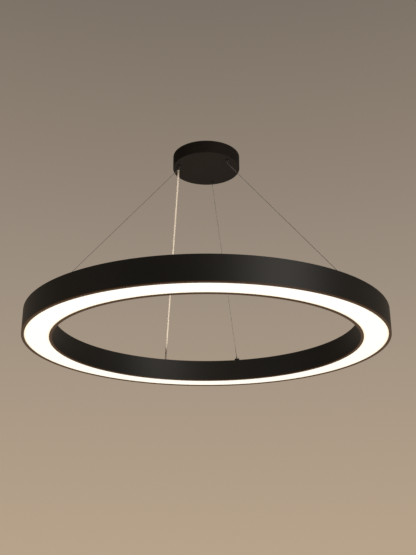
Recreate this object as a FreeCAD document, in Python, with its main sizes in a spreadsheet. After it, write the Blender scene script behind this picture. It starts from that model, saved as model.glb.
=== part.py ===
import FreeCAD, Part
import math
import os

import Sketcher

# A ring lamp hung from a round ceiling canopy by three steel wires.
# Millimetres and degrees. The origin is on the ring's axis, in the ceiling's plane; +Z is up.
# Azimuths are counted from +X towards +Y.

SIZES = {
    # the ring's section
    "ring_diameter": 1000.0,
    "band_width": 80.0,
    "ring_height": 66.0,
    "band_wall": 2.0,
    "rim_width": 7.5,
    "rim_thick": 2.0,
    "ledge_width": 6.0,
    "ledge_thick": 2.0,
    "flange_width": 10.0,
    "flange_thick": 2.0,
    "cover_thick": 2.0,
    "cover_play": 0.3,
    # the light inside it
    "diffuser_thick": 3.0,
    "diffuser_play": 0.5,
    "tray_thick": 1.5,
    "tray_play": 1.5,
    "driver_room": 21.5,
    "board_count": 6,
    "board_width": 36.0,
    "board_thick": 1.6,
    "board_joint": 1.2,
    "chips_per_row": 84,
    "chip_length": 3.0,
    "chip_width": 2.8,
    "chip_thick": 0.7,
    "chip_row_gap": 20.0,
    "plug_width": 9.0,
    "plug_length": 7.0,
    "plug_thick": 4.0,
    "plug_inset": 8.0,
    "jumper_wire": 1.6,
    "jumper_gap": 4.0,
    "output_lead": 3.0,
    "lead_gap": 30.0,
    # drivers on the gear tray
    "driver_length": 280.0,
    "driver_width": 30.0,
    "driver_high": 21.0,
    "driver_wall": 1.0,
    "driver_inset": 10.0,
    "driver_count": 2,
    # hanging
    "drop": 484.0,
    "wire_count": 3,
    "wire_azimuth": 77.0,
    "wire_diameter": 1.5,
    "wire_bend": 8.0,
    "wire_lead": 1.0,
    "grip_reach": 84.0,
    # ceiling canopy
    "canopy_margin": 16.0,
    "canopy_height": 40.0,
    "canopy_wall": 1.5,
    "canopy_round": 1.6,
    "plate_thick": 2.0,
    "plate_play": 1.2,
    "supply_hole": 32.0,
    "ceiling_screw_circle": 130.0,
    "ceiling_screw_hole": 5.5,
    "lug_width": 18.0,
    "lug_length": 14.0,
    "lug_thick": 2.0,
    # wire grippers
    "grip_collar": 10.0,
    "grip_collar_high": 3.0,
    "grip_shank": 8.0,
    "grip_shank_long": 19.0,
    "nut_flats": 10.0,
    "nut_high": 4.0,
    "sleeve_diameter": 4.0,
    "sleeve_bore": 1.8,
    "sleeve_travel": 2.0,
    "sleeve_stub": 2.0,
    "sleeve_flange": 5.2,
    "sleeve_flange_high": 1.0,
    "ball_diameter": 1.6,
    "ball_count": 3,
    "cone_start": 1.5,
    "cone_spread": 1.0,
    "cone_high": 8.0,
    "chamber": 6.2,
    "spring_wire": 0.5,
    "spring_turns": 5,
    "cap_high": 3.0,
    "cap_lip_high": 1.0,
    "tail_lead": 1.5,
    "tail_bend": 5.0,
    "tail_run": 24.0,
    # power cable
    "cable_diameter": 6.0,
    "cable_azimuth": 186.0,
    "cable_ring_azimuth": 107.0,
    "cable_bend": 30.0,
    "core_diameter": 2.2,
    "core_spread": 8.0,
    "gland_collar": 13.0,
    "gland_collar_high": 3.0,
    "gland_step": 1.5,
    "gland_nose": 8.0,
    "gland_nose_high": 6.0,
    "gland_shank": 10.0,
    "gland_nut_flats": 12.0,
    "gland_nut_high": 4.0,
    "terminal_length": 30.0,
    "terminal_width": 20.0,
    "terminal_high": 16.0,
    "terminal_hole": 3.4,
    "terminal_screw_high": 1.0,
    "mains_gap": 4.0,
    "ring_block_gap": 48.0,
    # wire anchors on the ring
    "fork_base": 18.0,
    "fork_base_high": 3.0,
    "fork_stud": 8.0,
    "fork_stud_long": 16.0,
    "fork_ear": 3.0,
    "fork_ear_width": 10.0,
    "pivot_high": 11.0,
    "barrel_diameter": 8.0,
    "barrel_length": 8.0,
    "trunnion": 4.0,
    "anchor_nut_flats": 13.0,
    "anchor_nut_high": 6.5,
    "bridge_length": 50.0,
    "bridge_thick": 3.0,
    "ferrule_diameter": 3.4,
    "ferrule_reach": 12.0,
    "ferrule_head": 5.4,
    "ferrule_head_high": 2.2,
    "ferrule_depth": 5.0,
    "wire_short": 2.5,
    # small screws
    "screw": 3.0,
    "screw_head": 5.6,
    "screw_head_high": 1.8,
    "screw_length": 9.0,
    "side_screw": 4.0,
    "side_screw_head": 7.0,
    "side_screw_head_high": 1.8,
    "side_screw_length": 8.0,
    # clearances
    "hole_play": 0.2,
    "thread_play": 0.05,
    "thread_end": 1.0,
    "slide_play": 0.05,
}

# A hexagon's corner distance as a share of its width across the flats.
HEX_CORNER = 1.0 / math.sqrt(3.0)
# How near two lengths must be to count as the same.
SAME_LENGTH = 0.01

# The grippers, wires and anchors as one looks up at the lamp from its near side.
GRIP_NAMES = ("far", "left", "right")
COVER_SCREWS = 12
COVER_STEP = 360.0 / COVER_SCREWS
CEILING_SCREWS = 4
# Room for three cores side by side, in core diameters.
LEADS_ABREAST = 3.3
# How far a cut or an axis runs past the piece that it serves.
RUN_PAST = 1.0
# A driver board's length and its three parts (place, width, length) as shares of the case's inside.
DRIVER_BOARD_SHARE = 0.86
DRIVER_BLOCKS = ((-0.22, 0.62, 0.09), (0.02, 0.7, 0.12), (0.25, 0.5, 0.07))
DRIVER_LIP_SHARE = 1.5
# A cable's stripped end: its bend and the cores' pitch as shares of a diameter, and the share of
# the way to the terminal block that each core runs straight.
SHEATH_BEND = 1.6
CORE_PITCH = 0.62
CORE_STRAIGHT = 0.3
RING_LEAD_PITCH = 1.15
# Heights of the leads at a driver's end, as shares of the driver's height.
LEAD_SHARE = 0.45
OUTPUT_SHARE = 0.25
# Where the output lead leaves the driver's end, as a share of the driver's width, and the share
# of the way to its hole that it runs straight on.
OUTPUT_SIDE = 1.0 / 3.0
OUTPUT_STRAIGHT = 0.5
# A terminal block's two screws per pole, as shares of the block's width, and its poles.
TERMINAL_SHARES = (0.25, 0.75)
POLES = (-1.0, 0.0, 1.0)


class Size:
    """A number of the sheet, or a sum of several, with its value and its expression."""

    def __init__(self, text, value):
        self.text = text
        self.value = value

    def _with(self, sign, other, value):
        text = other.text if isinstance(other, Size) else repr(float(other))
        return Size(f"({self.text} {sign} {text})", value)

    def __add__(self, other):
        return self._with("+", other, self.value + number(other))

    def __sub__(self, other):
        return self._with("-", other, self.value - number(other))

    def __mul__(self, other):
        return self._with("*", other, self.value * number(other))

    def __truediv__(self, other):
        return self._with("/", other, self.value / number(other))

    def __neg__(self):
        return self * -1.0

    def __radd__(self, other):
        return self + other

    def __rsub__(self, other):
        return -self + other


def number(size):
    """The plain value of a Size or of a number."""
    return size.value if isinstance(size, Size) else float(size)


def text_of(size):
    """The expression of a Size or of a number."""
    return size.text if isinstance(size, Size) else repr(float(size))


class Sheet:
    """The document's sheet of driving dimensions; each one is read as an attribute."""

    def __init__(self, doc, sizes):
        self.cells = doc.addObject("Spreadsheet::Sheet", "sizes")
        for row, (name, value) in enumerate(sizes.items(), start=1):
            self.cells.set(f"A{row}", name)
            self.cells.set(f"B{row}", str(value))
            self.cells.setAlias(f"B{row}", name)
        doc.recompute()

    def __getattr__(self, name):
        return Size(f"sizes.{name}", float(getattr(self.cells, name)))


doc = FreeCAD.newDocument("ring_lamp")
s = Sheet(doc, SIZES)

# ---------------------------------------------------------------- levels and radii

ring_outside = s.ring_diameter / 2
ring_inside = ring_outside - s.band_width
ring_middle = ring_outside - s.band_width / 2
canopy_under = -s.canopy_height
ring_top = canopy_under - s.drop
ring_under = ring_top - s.ring_height
diffuser_under = ring_under + s.rim_thick
cover_under = ring_top - s.cover_thick
flange_under = cover_under - s.flange_thick
ledge_under = flange_under - s.driver_room - s.ledge_thick
tray_under = ledge_under - s.tray_thick
board_under = tray_under - s.board_thick
bridge_under = flange_under - s.bridge_thick
channel_outside = ring_outside - s.band_wall
channel_inside = ring_inside + s.band_wall
outer_flange_middle = channel_outside - s.flange_width / 2
inner_flange_middle = channel_inside + s.flange_width / 2
outer_ledge_middle = channel_outside - s.ledge_width / 2
inner_ledge_middle = channel_inside + s.ledge_width / 2
canopy_radius = s.grip_reach + s.canopy_margin
canopy_floor = canopy_under + s.canopy_wall
wire_step = 360.0 / s.wire_count.value


# ---------------------------------------------------------------- makers of features

def bind(item, **sizes):
    """Bind properties of an object to the sheet, a double underscore standing for a dot."""
    for prop, size in sizes.items():
        item.setExpression(prop.replace("__", "."), text_of(size))


def origin_part(body, role):
    """One of a body's own origin planes or axes."""
    return next(item for item in body.Origin.OriginFeatures if item.Role == role)


def upright_turn(degrees):
    """A turn about the upright direction."""
    return FreeCAD.Rotation(FreeCAD.Vector(0, 0, 1), degrees)


def new_body(label, turn=None):
    """A part design body, turned about the lamp's axis where a turn is given."""
    body = doc.addObject("PartDesign::Body", label)
    body.Label = label
    if turn is not None:
        place(body, FreeCAD.Vector(), upright_turn(1))
        bind(body, Placement__Rotation__Angle=turn)
    return body


def place(item, base, rotation):
    """Set an object's place."""
    item.Placement = FreeCAD.Placement(base, rotation)


def new_sketch(body, plane="XY_Plane", level=0.0, turn=0.0):
    """A sketch on an origin plane, lifted by level and turned in its plane."""
    sketch = body.newObject("Sketcher::SketchObject", f"{body.Label}_sketch")
    sketch.AttachmentSupport = [(origin_part(body, plane), "")]
    sketch.MapMode = "FlatFace"
    sketch.AttachmentOffset = FreeCAD.Placement(FreeCAD.Vector(), upright_turn(1))
    bind(sketch, AttachmentOffset__Base__z=level, AttachmentOffset__Rotation__Angle=turn)
    return sketch


def pin_point(sketch, shape, point, x, y):
    """Hold a sketch point at x, y, both bound to the sheet."""
    for kind, size in (("DistanceX", x), ("DistanceY", y)):
        held = sketch.addConstraint(Sketcher.Constraint(kind, -1, 1, shape, point, number(size)))
        sketch.setExpression(f"Constraints[{held}]", text_of(size))


def draw_outline(sketch, corners):
    """A closed outline of straight lines through the corners."""
    places = [FreeCAD.Vector(number(x), number(y), 0) for x, y in corners]
    lines = [sketch.addGeometry(Part.LineSegment(start, end))
             for start, end in zip(places, places[1:] + places[:1])]
    for line, following in zip(lines, lines[1:] + lines[:1]):
        sketch.addConstraint(Sketcher.Constraint("Coincident", line, 2, following, 1))
    for line, (x, y) in zip(lines, corners):
        pin_point(sketch, line, 1, x, y)


def draw_circle(sketch, x, y, diameter):
    """A circle about x, y."""
    centre = FreeCAD.Vector(number(x), number(y), 0)
    ring = sketch.addGeometry(Part.Circle(centre, FreeCAD.Vector(0, 0, 1), number(diameter) / 2))
    pin_point(sketch, ring, 3, x, y)
    held = sketch.addConstraint(Sketcher.Constraint("Radius", ring, number(diameter) / 2))
    sketch.setExpression(f"Constraints[{held}]", text_of(diameter / 2 if isinstance(diameter, Size)
                                                         else diameter / 2.0))


def box_corners(x, y, length_x, length_y):
    """The corners of a rectangle centred on x, y."""
    left, right = x - length_x / 2, x + length_x / 2
    low, high = y - length_y / 2, y + length_y / 2
    return [(left, low), (right, low), (right, high), (left, high)]


def hexagon(x, y, flats):
    """The corners of a hexagon whose flats lie across X."""
    half, point = flats / 2, flats * HEX_CORNER
    return [(x + half, y - point / 2), (x + half, y + point / 2), (x, y + point),
            (x - half, y + point / 2), (x - half, y - point / 2), (x, y - point)]


def pad(body, sketch, length, down=False):
    """Raise a sketch to a solid."""
    feature = body.newObject("PartDesign::Pad", f"{body.Label}_pad")
    feature.Profile = sketch
    feature.Reversed = down
    bind(feature, Length=length)
    return feature


def revolve(body, sketch, axis, angle=360.0):
    """Turn a sketch about an axis."""
    feature = body.newObject("PartDesign::Revolution", f"{body.Label}_turned")
    feature.Profile = sketch
    feature.ReferenceAxis = axis
    bind(feature, Angle=angle)
    return feature


def cut_through(body, sketch, depth=None):
    """Cut a sketch right through the body both ways, or to a depth each side of the sketch."""
    before = solid_volume(body)
    feature = body.newObject("PartDesign::Pocket", f"{body.Label}_cut")
    feature.Profile = sketch
    feature.Midplane = True
    if depth is None:
        feature.Type = "ThroughAll"
    else:
        bind(feature, Length=depth)
    body.Tip = feature
    if not solid_volume(body) < before:
        raise ValueError(f"{feature.Name} cuts nothing")
    return feature


def cut_along(body, sketch, depth, away=False):
    """Cut a sketch to a depth against its plane's normal, or along it where away is set."""
    before = solid_volume(body)
    feature = body.newObject("PartDesign::Pocket", f"{body.Label}_cut")
    feature.Profile = sketch
    feature.Reversed = away
    bind(feature, Length=depth)
    body.Tip = feature
    if not solid_volume(body) < before:
        raise ValueError(f"{feature.Name} cuts nothing")
    return feature


def solid_volume(body):
    """The body's volume after a recompute."""
    doc.recompute()
    return body.Shape.Volume


def repeat(body, features, count, angle=360.0):
    """Copy features round the lamp's axis."""
    feature = body.newObject("PartDesign::PolarPattern", f"{body.Label}_round")
    feature.Originals = features
    feature.Axis = (origin_part(body, "Z_Axis"), [""])
    bind(feature, Occurrences=count, Angle=angle)
    body.Tip = feature
    return feature


def around(body, sketch_circle, count, turn=0.0):
    """Holes through a body at each of count places round the lamp's axis.

    sketch_circle is (reach, diameter): the holes' distance from the axis and their size."""
    reach, diameter = sketch_circle
    sketch = new_sketch(body, turn=turn)
    draw_circle(sketch, reach, 0.0, diameter)
    hole = cut_through(body, sketch)
    if number(count) > 1:
        repeat(body, [hole], count)


def turned(label, corners, turn=None):
    """A piece turned about the lamp's axis from its corners in radius and height."""
    body = new_body(label, turn)
    sketch = new_sketch(body, "XZ_Plane")
    draw_outline(sketch, corners)
    revolve(body, sketch, (sketch, ["V_Axis"]))
    return body


def add_spindle(body, reach, corners):
    """Add a piece turned about an upright axis that stands at reach from the lamp's axis.

    corners are (radius, height) about that upright axis."""
    sketch = new_sketch(body, "XZ_Plane")
    draw_outline(sketch, [(reach + radius, level) for radius, level in corners])
    foot, head = corners[0][1], corners[-1][1]
    axis = sketch.addGeometry(Part.LineSegment(
        FreeCAD.Vector(number(reach), number(foot), 0),
        FreeCAD.Vector(number(reach), number(head) + RUN_PAST, 0)), True)
    pin_point(sketch, axis, 1, reach, foot)
    pin_point(sketch, axis, 2, reach, head + RUN_PAST)
    return revolve(body, sketch, (sketch, ["Axis0"]))


def spindles(label, places, count, turn=0.0):
    """Turned pieces round the lamp's axis; places are (reach, corners)."""
    body = new_body(label, turn)
    features = [add_spindle(body, reach, corners) for reach, corners in places]
    if number(count) > 1:
        repeat(body, features, count)
    return body


def headed(radius, head_radius, under, top, head_high):
    """The half outline of a screw that points down from its head."""
    return [(0.0, under), (radius, under), (radius, top), (head_radius, top),
            (head_radius, top + head_high), (0.0, top + head_high)]


def headed_up(radius, head_radius, under, top, head_high):
    """The half outline of a screw that points up from its head."""
    return [(0.0, under), (head_radius, under), (head_radius, under + head_high),
            (radius, under + head_high), (radius, top), (0.0, top)]


def tube(low, high, inside, outside):
    """The half outline of a plain tube."""
    return [(inside, low), (outside, low), (outside, high), (inside, high)]


# ---------------------------------------------------------------- routes

def rounded_route(points, radii):
    """A wire of straight runs through the points, with an arc of a given radius at each corner."""
    edges = []
    start = points[0]
    for index, corner in enumerate(points[1:-1]):
        before = (points[index] - corner).normalize()
        after = (points[index + 2] - corner).normalize()
        half_turn = (math.pi - before.getAngle(after)) / 2
        reach = radii[index] * math.tan(half_turn)
        bow = (before + after).normalize() * (radii[index] / math.cos(half_turn) - radii[index])
        into, out = corner + before * reach, corner + after * reach
        edges.append(Part.LineSegment(start, into).toShape())
        edges.append(Part.Arc(into, corner + bow, out).toShape())
        start = out
    edges.append(Part.LineSegment(start, points[-1]).toShape())
    return Part.Wire(edges)


def tell_route(name, route, radii):
    """Print a held cord's length and the radii of its arcs."""
    arcs = ", ".join(f"{radius:.1f}" for radius in radii)
    print(f"{name}: {route.Length:.2f} mm long, arcs of {arcs} mm")


def swept(route, diameter):
    """A round rod along a route."""
    first = route.Edges[0]
    start = first.valueAt(first.FirstParameter)
    along = first.tangentAt(first.FirstParameter)
    ring = Part.Wire(Part.makeCircle(diameter / 2, start, along))
    rod = route.makePipeShell([ring], True, False)
    wanted = math.pi * diameter ** 2 / 4 * route.Length
    if abs(rod.Volume / wanted - 1.0) > 0.02:
        raise ValueError(f"swept rod holds {rod.Volume:.1f} mm3, not {wanted:.1f}")
    return rod


def add_shape(label, shapes, turn=0.0):
    """A node of one or more solids, turned about the lamp's axis."""
    feature = doc.addObject("Part::Feature", label)
    feature.Label = label
    feature.Shape = shapes[0] if len(shapes) == 1 else Part.makeCompound(shapes)
    place(feature, FreeCAD.Vector(), upright_turn(turn))
    return feature


def polar(reach, azimuth, level):
    """A point from its distance to the axis, its azimuth and its height."""
    angle = math.radians(azimuth)
    return FreeCAD.Vector(reach * math.cos(angle), reach * math.sin(angle), level)


# ---------------------------------------------------------------- the ring

def make_band(label, face, side):
    """One wall of the ring's channel, with its rim, ledge and flange turned to the inside.

    face is the visible wall's radius and side the way from it to the channel, +1 or -1."""
    wall = face + s.band_wall * side
    rim = face + s.rim_width * side
    ledge = wall + s.ledge_width * side
    flange = wall + s.flange_width * side
    ledge_top = ledge_under + s.ledge_thick
    corners = [
        (face, ring_under), (rim, ring_under), (rim, diffuser_under), (wall, diffuser_under),
        (wall, ledge_under), (ledge, ledge_under), (ledge, ledge_top), (wall, ledge_top),
        (wall, flange_under), (flange, flange_under), (flange, cover_under), (wall, cover_under),
        (wall, ring_top), (face, ring_top)]
    return turned(label, corners, s.wire_azimuth)


def make_bands():
    """The two rolled walls, with tapped holes in their flanges and ledges."""
    tapped = s.screw + s.thread_play * 2
    outer = make_band("outer_band", ring_outside, -1.0)
    inner = make_band("inner_band", ring_inside, 1.0)
    for body, flange, ledge in ((outer, outer_flange_middle, outer_ledge_middle),
                                (inner, inner_flange_middle, inner_ledge_middle)):
        drill_ring(body, flange, tapped, flange_under, s.flange_thick, 0.0)
        drill_ring(body, ledge, tapped, ledge_under, s.ledge_thick, COVER_STEP / 2)


def drill_ring(body, reach, diameter, level, depth, turn):
    """Holes through one flange or ledge only, round the lamp's axis."""
    sketch = new_sketch(body, level=level + depth / 2, turn=turn)
    draw_circle(sketch, reach, 0.0, diameter)
    hole = cut_through(body, sketch, depth + RUN_PAST)
    repeat(body, [hole], COVER_SCREWS)


def make_cover():
    """The ring's flat top, let in between the two walls."""
    cover = turned("top_cover", tube(cover_under, ring_top, channel_inside + s.cover_play,
                                     channel_outside - s.cover_play), s.wire_azimuth)
    clear = s.screw + s.hole_play * 2
    around(cover, (outer_flange_middle, clear), COVER_SCREWS)
    around(cover, (inner_flange_middle, clear), COVER_SCREWS)
    around(cover, (ring_middle, s.fork_stud + s.hole_play * 2), s.wire_count)
    around(cover, (ring_middle, s.gland_shank + s.hole_play * 2), 1,
           s.cable_ring_azimuth - s.wire_azimuth)
    outline = headed(s.screw / 2, s.screw_head / 2, ring_top - s.screw_length, ring_top,
                     s.screw_head_high)
    spindles("cover_screws", [(outer_flange_middle, outline), (inner_flange_middle, outline)],
             COVER_SCREWS, s.wire_azimuth)


def make_tray():
    """The gear tray under the ledges, with its screws."""
    tray = turned("gear_tray", tube(tray_under, ledge_under, channel_inside + s.tray_play,
                                    channel_outside - s.tray_play), s.wire_azimuth)
    clear = s.screw + s.hole_play * 2
    around(tray, (outer_ledge_middle, clear), COVER_SCREWS, COVER_STEP / 2)
    around(tray, (inner_ledge_middle, clear), COVER_SCREWS, COVER_STEP / 2)
    for index in range(int(s.driver_count.value)):
        around(tray, (lead_hole_reach, s.output_lead + s.hole_play * 4), 1,
               wire_step * (index + 0.5) + fed_plug_turn)
    outline = headed_up(s.screw / 2, s.screw_head / 2, tray_under - s.screw_head_high,
                        ledge_under + s.ledge_thick + s.thread_end, s.screw_head_high)
    spindles("tray_screws", [(outer_ledge_middle, outline), (inner_ledge_middle, outline)],
             COVER_SCREWS, s.wire_azimuth + COVER_STEP / 2)


def make_diffuser():
    """The opal ring that lies on both rims."""
    turned("diffuser", tube(diffuser_under, diffuser_under + s.diffuser_thick,
                            channel_inside + s.diffuser_play, channel_outside - s.diffuser_play))


# ---------------------------------------------------------------- the light boards

def turn_of(length, reach=ring_middle):
    """The angle that a short length takes up at a distance from the lamp's axis."""
    return math.degrees(number(length) / number(reach))


driver_azimuth = s.wire_azimuth + wire_step / 2
driver_reach = ring_middle - s.driver_inset
driver_floor = ledge_under
driver_half_turn = math.degrees(math.atan(s.driver_length.value / 2 / driver_reach.value))
lead_level = driver_floor + s.driver_high * LEAD_SHARE
lead_reach = math.hypot(driver_reach.value, s.driver_length.value / 2)
board_span = 360.0 / s.board_count.value
half_joint = turn_of(s.board_joint / 2)
plug_turn = turn_of(s.plug_inset)
half_plug = turn_of(s.plug_length / 2 + s.hole_play, ring_middle - s.jumper_gap)
# Each driver feeds the plug that stands just past its end.
fed_plug_turn = driver_half_turn + turn_of(s.lead_gap)
board_azimuth = driver_azimuth + (fed_plug_turn + plug_turn - board_span)
lead_hole_reach = channel_inside + s.ledge_width + s.output_lead * 2.0


def make_boards():
    """Light boards under the tray, each an arc of a ring."""
    for index in range(int(s.board_count.value)):
        body = new_body(f"led_board_{index + 1}", board_azimuth + board_span * index + half_joint)
        sketch = new_sketch(body, "XZ_Plane")
        draw_outline(sketch, tube(board_under, tray_under, ring_middle - s.board_width / 2,
                                  ring_middle + s.board_width / 2))
        revolve(body, sketch, (sketch, ["V_Axis"]), board_span - 2 * half_joint)


def make_chips():
    """Two rows of light chips on the boards."""
    pitch = 360.0 / s.chips_per_row.value
    body = new_body("led_chips", board_azimuth + pitch / 2)
    features = []
    for side in (-0.5, 0.5):
        sketch = new_sketch(body, level=board_under)
        draw_outline(sketch, box_corners(ring_middle + s.chip_row_gap * side, 0.0,
                                         s.chip_length, s.chip_width))
        features.append(pad(body, sketch, s.chip_thick, down=True))
    repeat(body, features, s.chips_per_row)


def make_board_plugs():
    """A two-pole plug at each end of every board, and the jumper leads that join them."""
    body = new_body("board_connectors", board_azimuth + plug_turn)
    features = []
    for turn in (0.0, board_span - 2 * plug_turn):
        sketch = new_sketch(body, level=board_under, turn=turn)
        draw_outline(sketch, box_corners(ring_middle, 0.0,
                                         s.plug_width, s.plug_length))
        features.append(pad(body, sketch, s.plug_thick, down=True))
    repeat(body, features, s.board_count)
    leads = new_body("board_leads", board_azimuth - plug_turn + half_plug)
    features = []
    for side in (-0.5, 0.5):
        sketch = new_sketch(leads, "XZ_Plane")
        draw_circle(sketch, ring_middle + s.jumper_gap * side, board_under - s.plug_thick / 2,
                    s.jumper_wire)
        features.append(revolve(leads, sketch, (sketch, ["V_Axis"]), 2 * (plug_turn - half_plug)))
    repeat(leads, features, s.board_count)


# ---------------------------------------------------------------- the drivers

def make_drivers():
    """Two long, slim drivers that stand on the tray: case, lid and circuit board."""
    inner_length = s.driver_length - s.driver_wall * 2
    inner_width = s.driver_width - s.driver_wall * 2
    case = new_body("driver_cases", driver_azimuth)
    sketch = new_sketch(case, level=driver_floor)
    draw_outline(sketch, box_corners(driver_reach, 0.0, s.driver_width, s.driver_length))
    block = pad(case, sketch, s.driver_high - s.driver_wall)
    case.Tip = block
    doc.recompute()
    hollow_sketch = new_sketch(case, level=driver_floor + s.driver_wall)
    draw_outline(hollow_sketch, box_corners(driver_reach, 0.0, inner_width, inner_length))
    hollow = case.newObject("PartDesign::Pocket", "driver_hollow")
    hollow.Profile = hollow_sketch
    hollow.Reversed = True
    hollow.Type = "ThroughAll"
    case.Tip = hollow
    doc.recompute()
    port = new_sketch(case, "XZ_Plane")
    draw_circle(port, driver_reach, lead_level, s.core_diameter * LEADS_ABREAST + s.hole_play * 8)
    opening = case.newObject("PartDesign::Pocket", "driver_port")
    opening.Profile = port
    opening.Midplane = True
    opening.Type = "ThroughAll"
    case.Tip = opening
    repeat(case, [block, hollow, opening], s.driver_count, wire_step)
    make_driver_lids(inner_width, inner_length)
    make_driver_boards(inner_width, inner_length)


def make_driver_lids(inner_width, inner_length):
    """The lids, with a lip that drops into the case."""
    lid = new_body("driver_lids", driver_azimuth)
    top = driver_floor + s.driver_high - s.driver_wall
    sketch = new_sketch(lid, level=top)
    draw_outline(sketch, box_corners(driver_reach, 0.0, s.driver_width, s.driver_length))
    plate = pad(lid, sketch, s.driver_wall)
    lip_sketch = new_sketch(lid, level=top)
    play = s.hole_play * 2
    draw_outline(lip_sketch, box_corners(driver_reach, 0.0, inner_width - play,
                                         inner_length - play))
    lip = pad(lid, lip_sketch, s.driver_wall * DRIVER_LIP_SHARE, down=True)
    repeat(lid, [plate, lip], s.driver_count, wire_step)


def make_driver_boards(inner_width, inner_length):
    """The circuit boards, each with its transformer and two capacitors."""
    board = new_body("driver_boards", driver_azimuth)
    play = s.hole_play * 4
    level = driver_floor + s.driver_wall
    sketch = new_sketch(board, level=level)
    draw_outline(sketch, box_corners(driver_reach, 0.0, inner_width - play,
                                     inner_length * DRIVER_BOARD_SHARE))
    features = [pad(board, sketch, s.board_thick)]
    block_high = s.driver_high - s.driver_wall * 4 - s.board_thick
    for place, width, length in DRIVER_BLOCKS:
        block_sketch = new_sketch(board, level=level + s.board_thick * 0.5)
        draw_outline(block_sketch, box_corners(driver_reach, inner_length * place,
                                               inner_width * width, inner_length * length))
        features.append(pad(board, block_sketch, block_high * (0.5 + width * 0.5)))
    repeat(board, features, s.driver_count, wire_step)


# ---------------------------------------------------------------- anchors on the ring

pivot_level = ring_top + s.pivot_high
bridge_stud_hole = s.fork_stud + s.hole_play * 2


def make_bridges():
    """Plates under the flanges that carry the forks, from wall to wall."""
    bridge = new_body("anchor_bridges", s.wire_azimuth)
    sketch = new_sketch(bridge, level=bridge_under)
    width = channel_outside - channel_inside - s.tray_play * 2
    draw_outline(sketch, box_corners(ring_middle, 0.0, width, s.bridge_length))
    draw_circle(sketch, ring_middle, 0.0, bridge_stud_hole)
    tapped = s.screw + s.thread_play * 2
    draw_circle(sketch, outer_flange_middle, 0.0, tapped)
    draw_circle(sketch, inner_flange_middle, 0.0, tapped)
    plate = pad(bridge, sketch, s.bridge_thick)
    repeat(bridge, [plate], s.wire_count)


def add_nut(body, reach, flats, bore, level, high, turn=0.0):
    """A hexagon nut that lies at reach from the lamp's axis."""
    sketch = new_sketch(body, level=level, turn=turn)
    draw_outline(sketch, hexagon(reach, 0.0, flats))
    draw_circle(sketch, reach, 0.0, bore + s.thread_play * 2)
    return pad(body, sketch, high)


def make_ring_nuts():
    """The nuts in the ring: one on each fork's stud under its bridge, one on the cable gland."""
    nuts = new_body("ring_lock_nuts", s.wire_azimuth)
    stud_nut = add_nut(nuts, ring_middle, s.anchor_nut_flats, s.fork_stud,
                       bridge_under - s.anchor_nut_high, s.anchor_nut_high)
    repeat(nuts, [stud_nut], s.wire_count)
    add_nut(nuts, ring_middle, s.gland_nut_flats, s.gland_shank, cover_under - s.gland_nut_high,
            s.gland_nut_high, s.cable_ring_azimuth - s.wire_azimuth)


def make_canopy_nuts():
    """The nuts on the cup's floor: one on each gripper, one on the cable gland."""
    nuts = new_body("canopy_lock_nuts", s.wire_azimuth)
    grip_nut = add_nut(nuts, s.grip_reach, s.nut_flats, s.grip_shank, canopy_floor, s.nut_high)
    repeat(nuts, [grip_nut], s.wire_count)
    add_nut(nuts, s.grip_reach, s.gland_nut_flats, s.gland_shank, canopy_floor, s.gland_nut_high,
            s.cable_azimuth - s.wire_azimuth)


def make_forks():
    """Forks whose studs pass the cover and the bridge; the ears hold the barrel's trunnions."""
    fork = new_body("anchor_forks", s.wire_azimuth)
    base = headed(s.fork_stud / 2, s.fork_base / 2, ring_top - s.fork_stud_long, ring_top,
                  s.fork_base_high)
    foot = add_spindle(fork, ring_middle, base)
    features = [foot]
    ear_low = ring_top + s.fork_base_high * 0.5
    ear_middle = (s.barrel_length + s.slide_play * 4 + s.fork_ear) / 2
    for side in (-1.0, 1.0):
        # The XZ plane's normal points to -Y, so a lift of the sketch goes that way.
        sketch = new_sketch(fork, "XZ_Plane", level=(ear_middle - s.fork_ear / 2) * side)
        draw_ear(sketch, ear_low)
        features.append(pad(fork, sketch, s.fork_ear, down=side < 0))
    repeat(fork, features, s.wire_count)


def draw_ear(sketch, low):
    """The outline of a fork's ear: straight sides, round top and the pivot's bore."""
    half = s.fork_ear_width / 2
    left, right = ring_middle - half, ring_middle + half
    x_left, x_right, x_mid = left.value, right.value, ring_middle.value
    y_low, y_pivot = low.value, pivot_level.value
    vector = FreeCAD.Vector
    foot = sketch.addGeometry(Part.LineSegment(vector(x_left, y_low, 0), vector(x_right, y_low, 0)))
    side = sketch.addGeometry(Part.LineSegment(vector(x_right, y_low, 0),
                                               vector(x_right, y_pivot, 0)))
    circle = Part.Circle(vector(x_mid, y_pivot, 0), vector(0, 0, 1), half.value)
    top = sketch.addGeometry(Part.ArcOfCircle(circle, 0.0, math.pi))
    back = sketch.addGeometry(Part.LineSegment(vector(x_left, y_pivot, 0), vector(x_left, y_low, 0)))
    for first, second in ((foot, side), (side, top), (top, back), (back, foot)):
        sketch.addConstraint(Sketcher.Constraint("Coincident", first, 2, second, 1))
    pin_point(sketch, foot, 1, left, low)
    pin_point(sketch, foot, 2, right, low)
    pin_point(sketch, side, 2, right, pivot_level)
    pin_point(sketch, back, 1, left, pivot_level)
    held = sketch.addConstraint(Sketcher.Constraint("DistanceY", -1, 1, top, 3, y_pivot))
    sketch.setExpression(f"Constraints[{held}]", pivot_level.text)
    draw_circle(sketch, ring_middle, pivot_level, s.trunnion + s.slide_play * 2)


# ---------------------------------------------------------------- suspension wires

sleeve_nose = s.sleeve_travel + s.sleeve_stub
mouth_level = canopy_under.value - s.grip_collar_high.value - sleeve_nose.value
bend_half = 0.5 * math.atan2(ring_middle.value - s.grip_reach.value,
                             mouth_level - pivot_level.value)
corner_level = mouth_level - s.wire_lead.value - s.wire_bend.value * math.tan(bend_half)
slope_run = ring_middle.value - s.grip_reach.value
slope_fall = corner_level - pivot_level.value
slope_length = math.hypot(slope_run, slope_fall)
slope_angle = math.degrees(math.atan2(slope_run, slope_fall))


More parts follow.
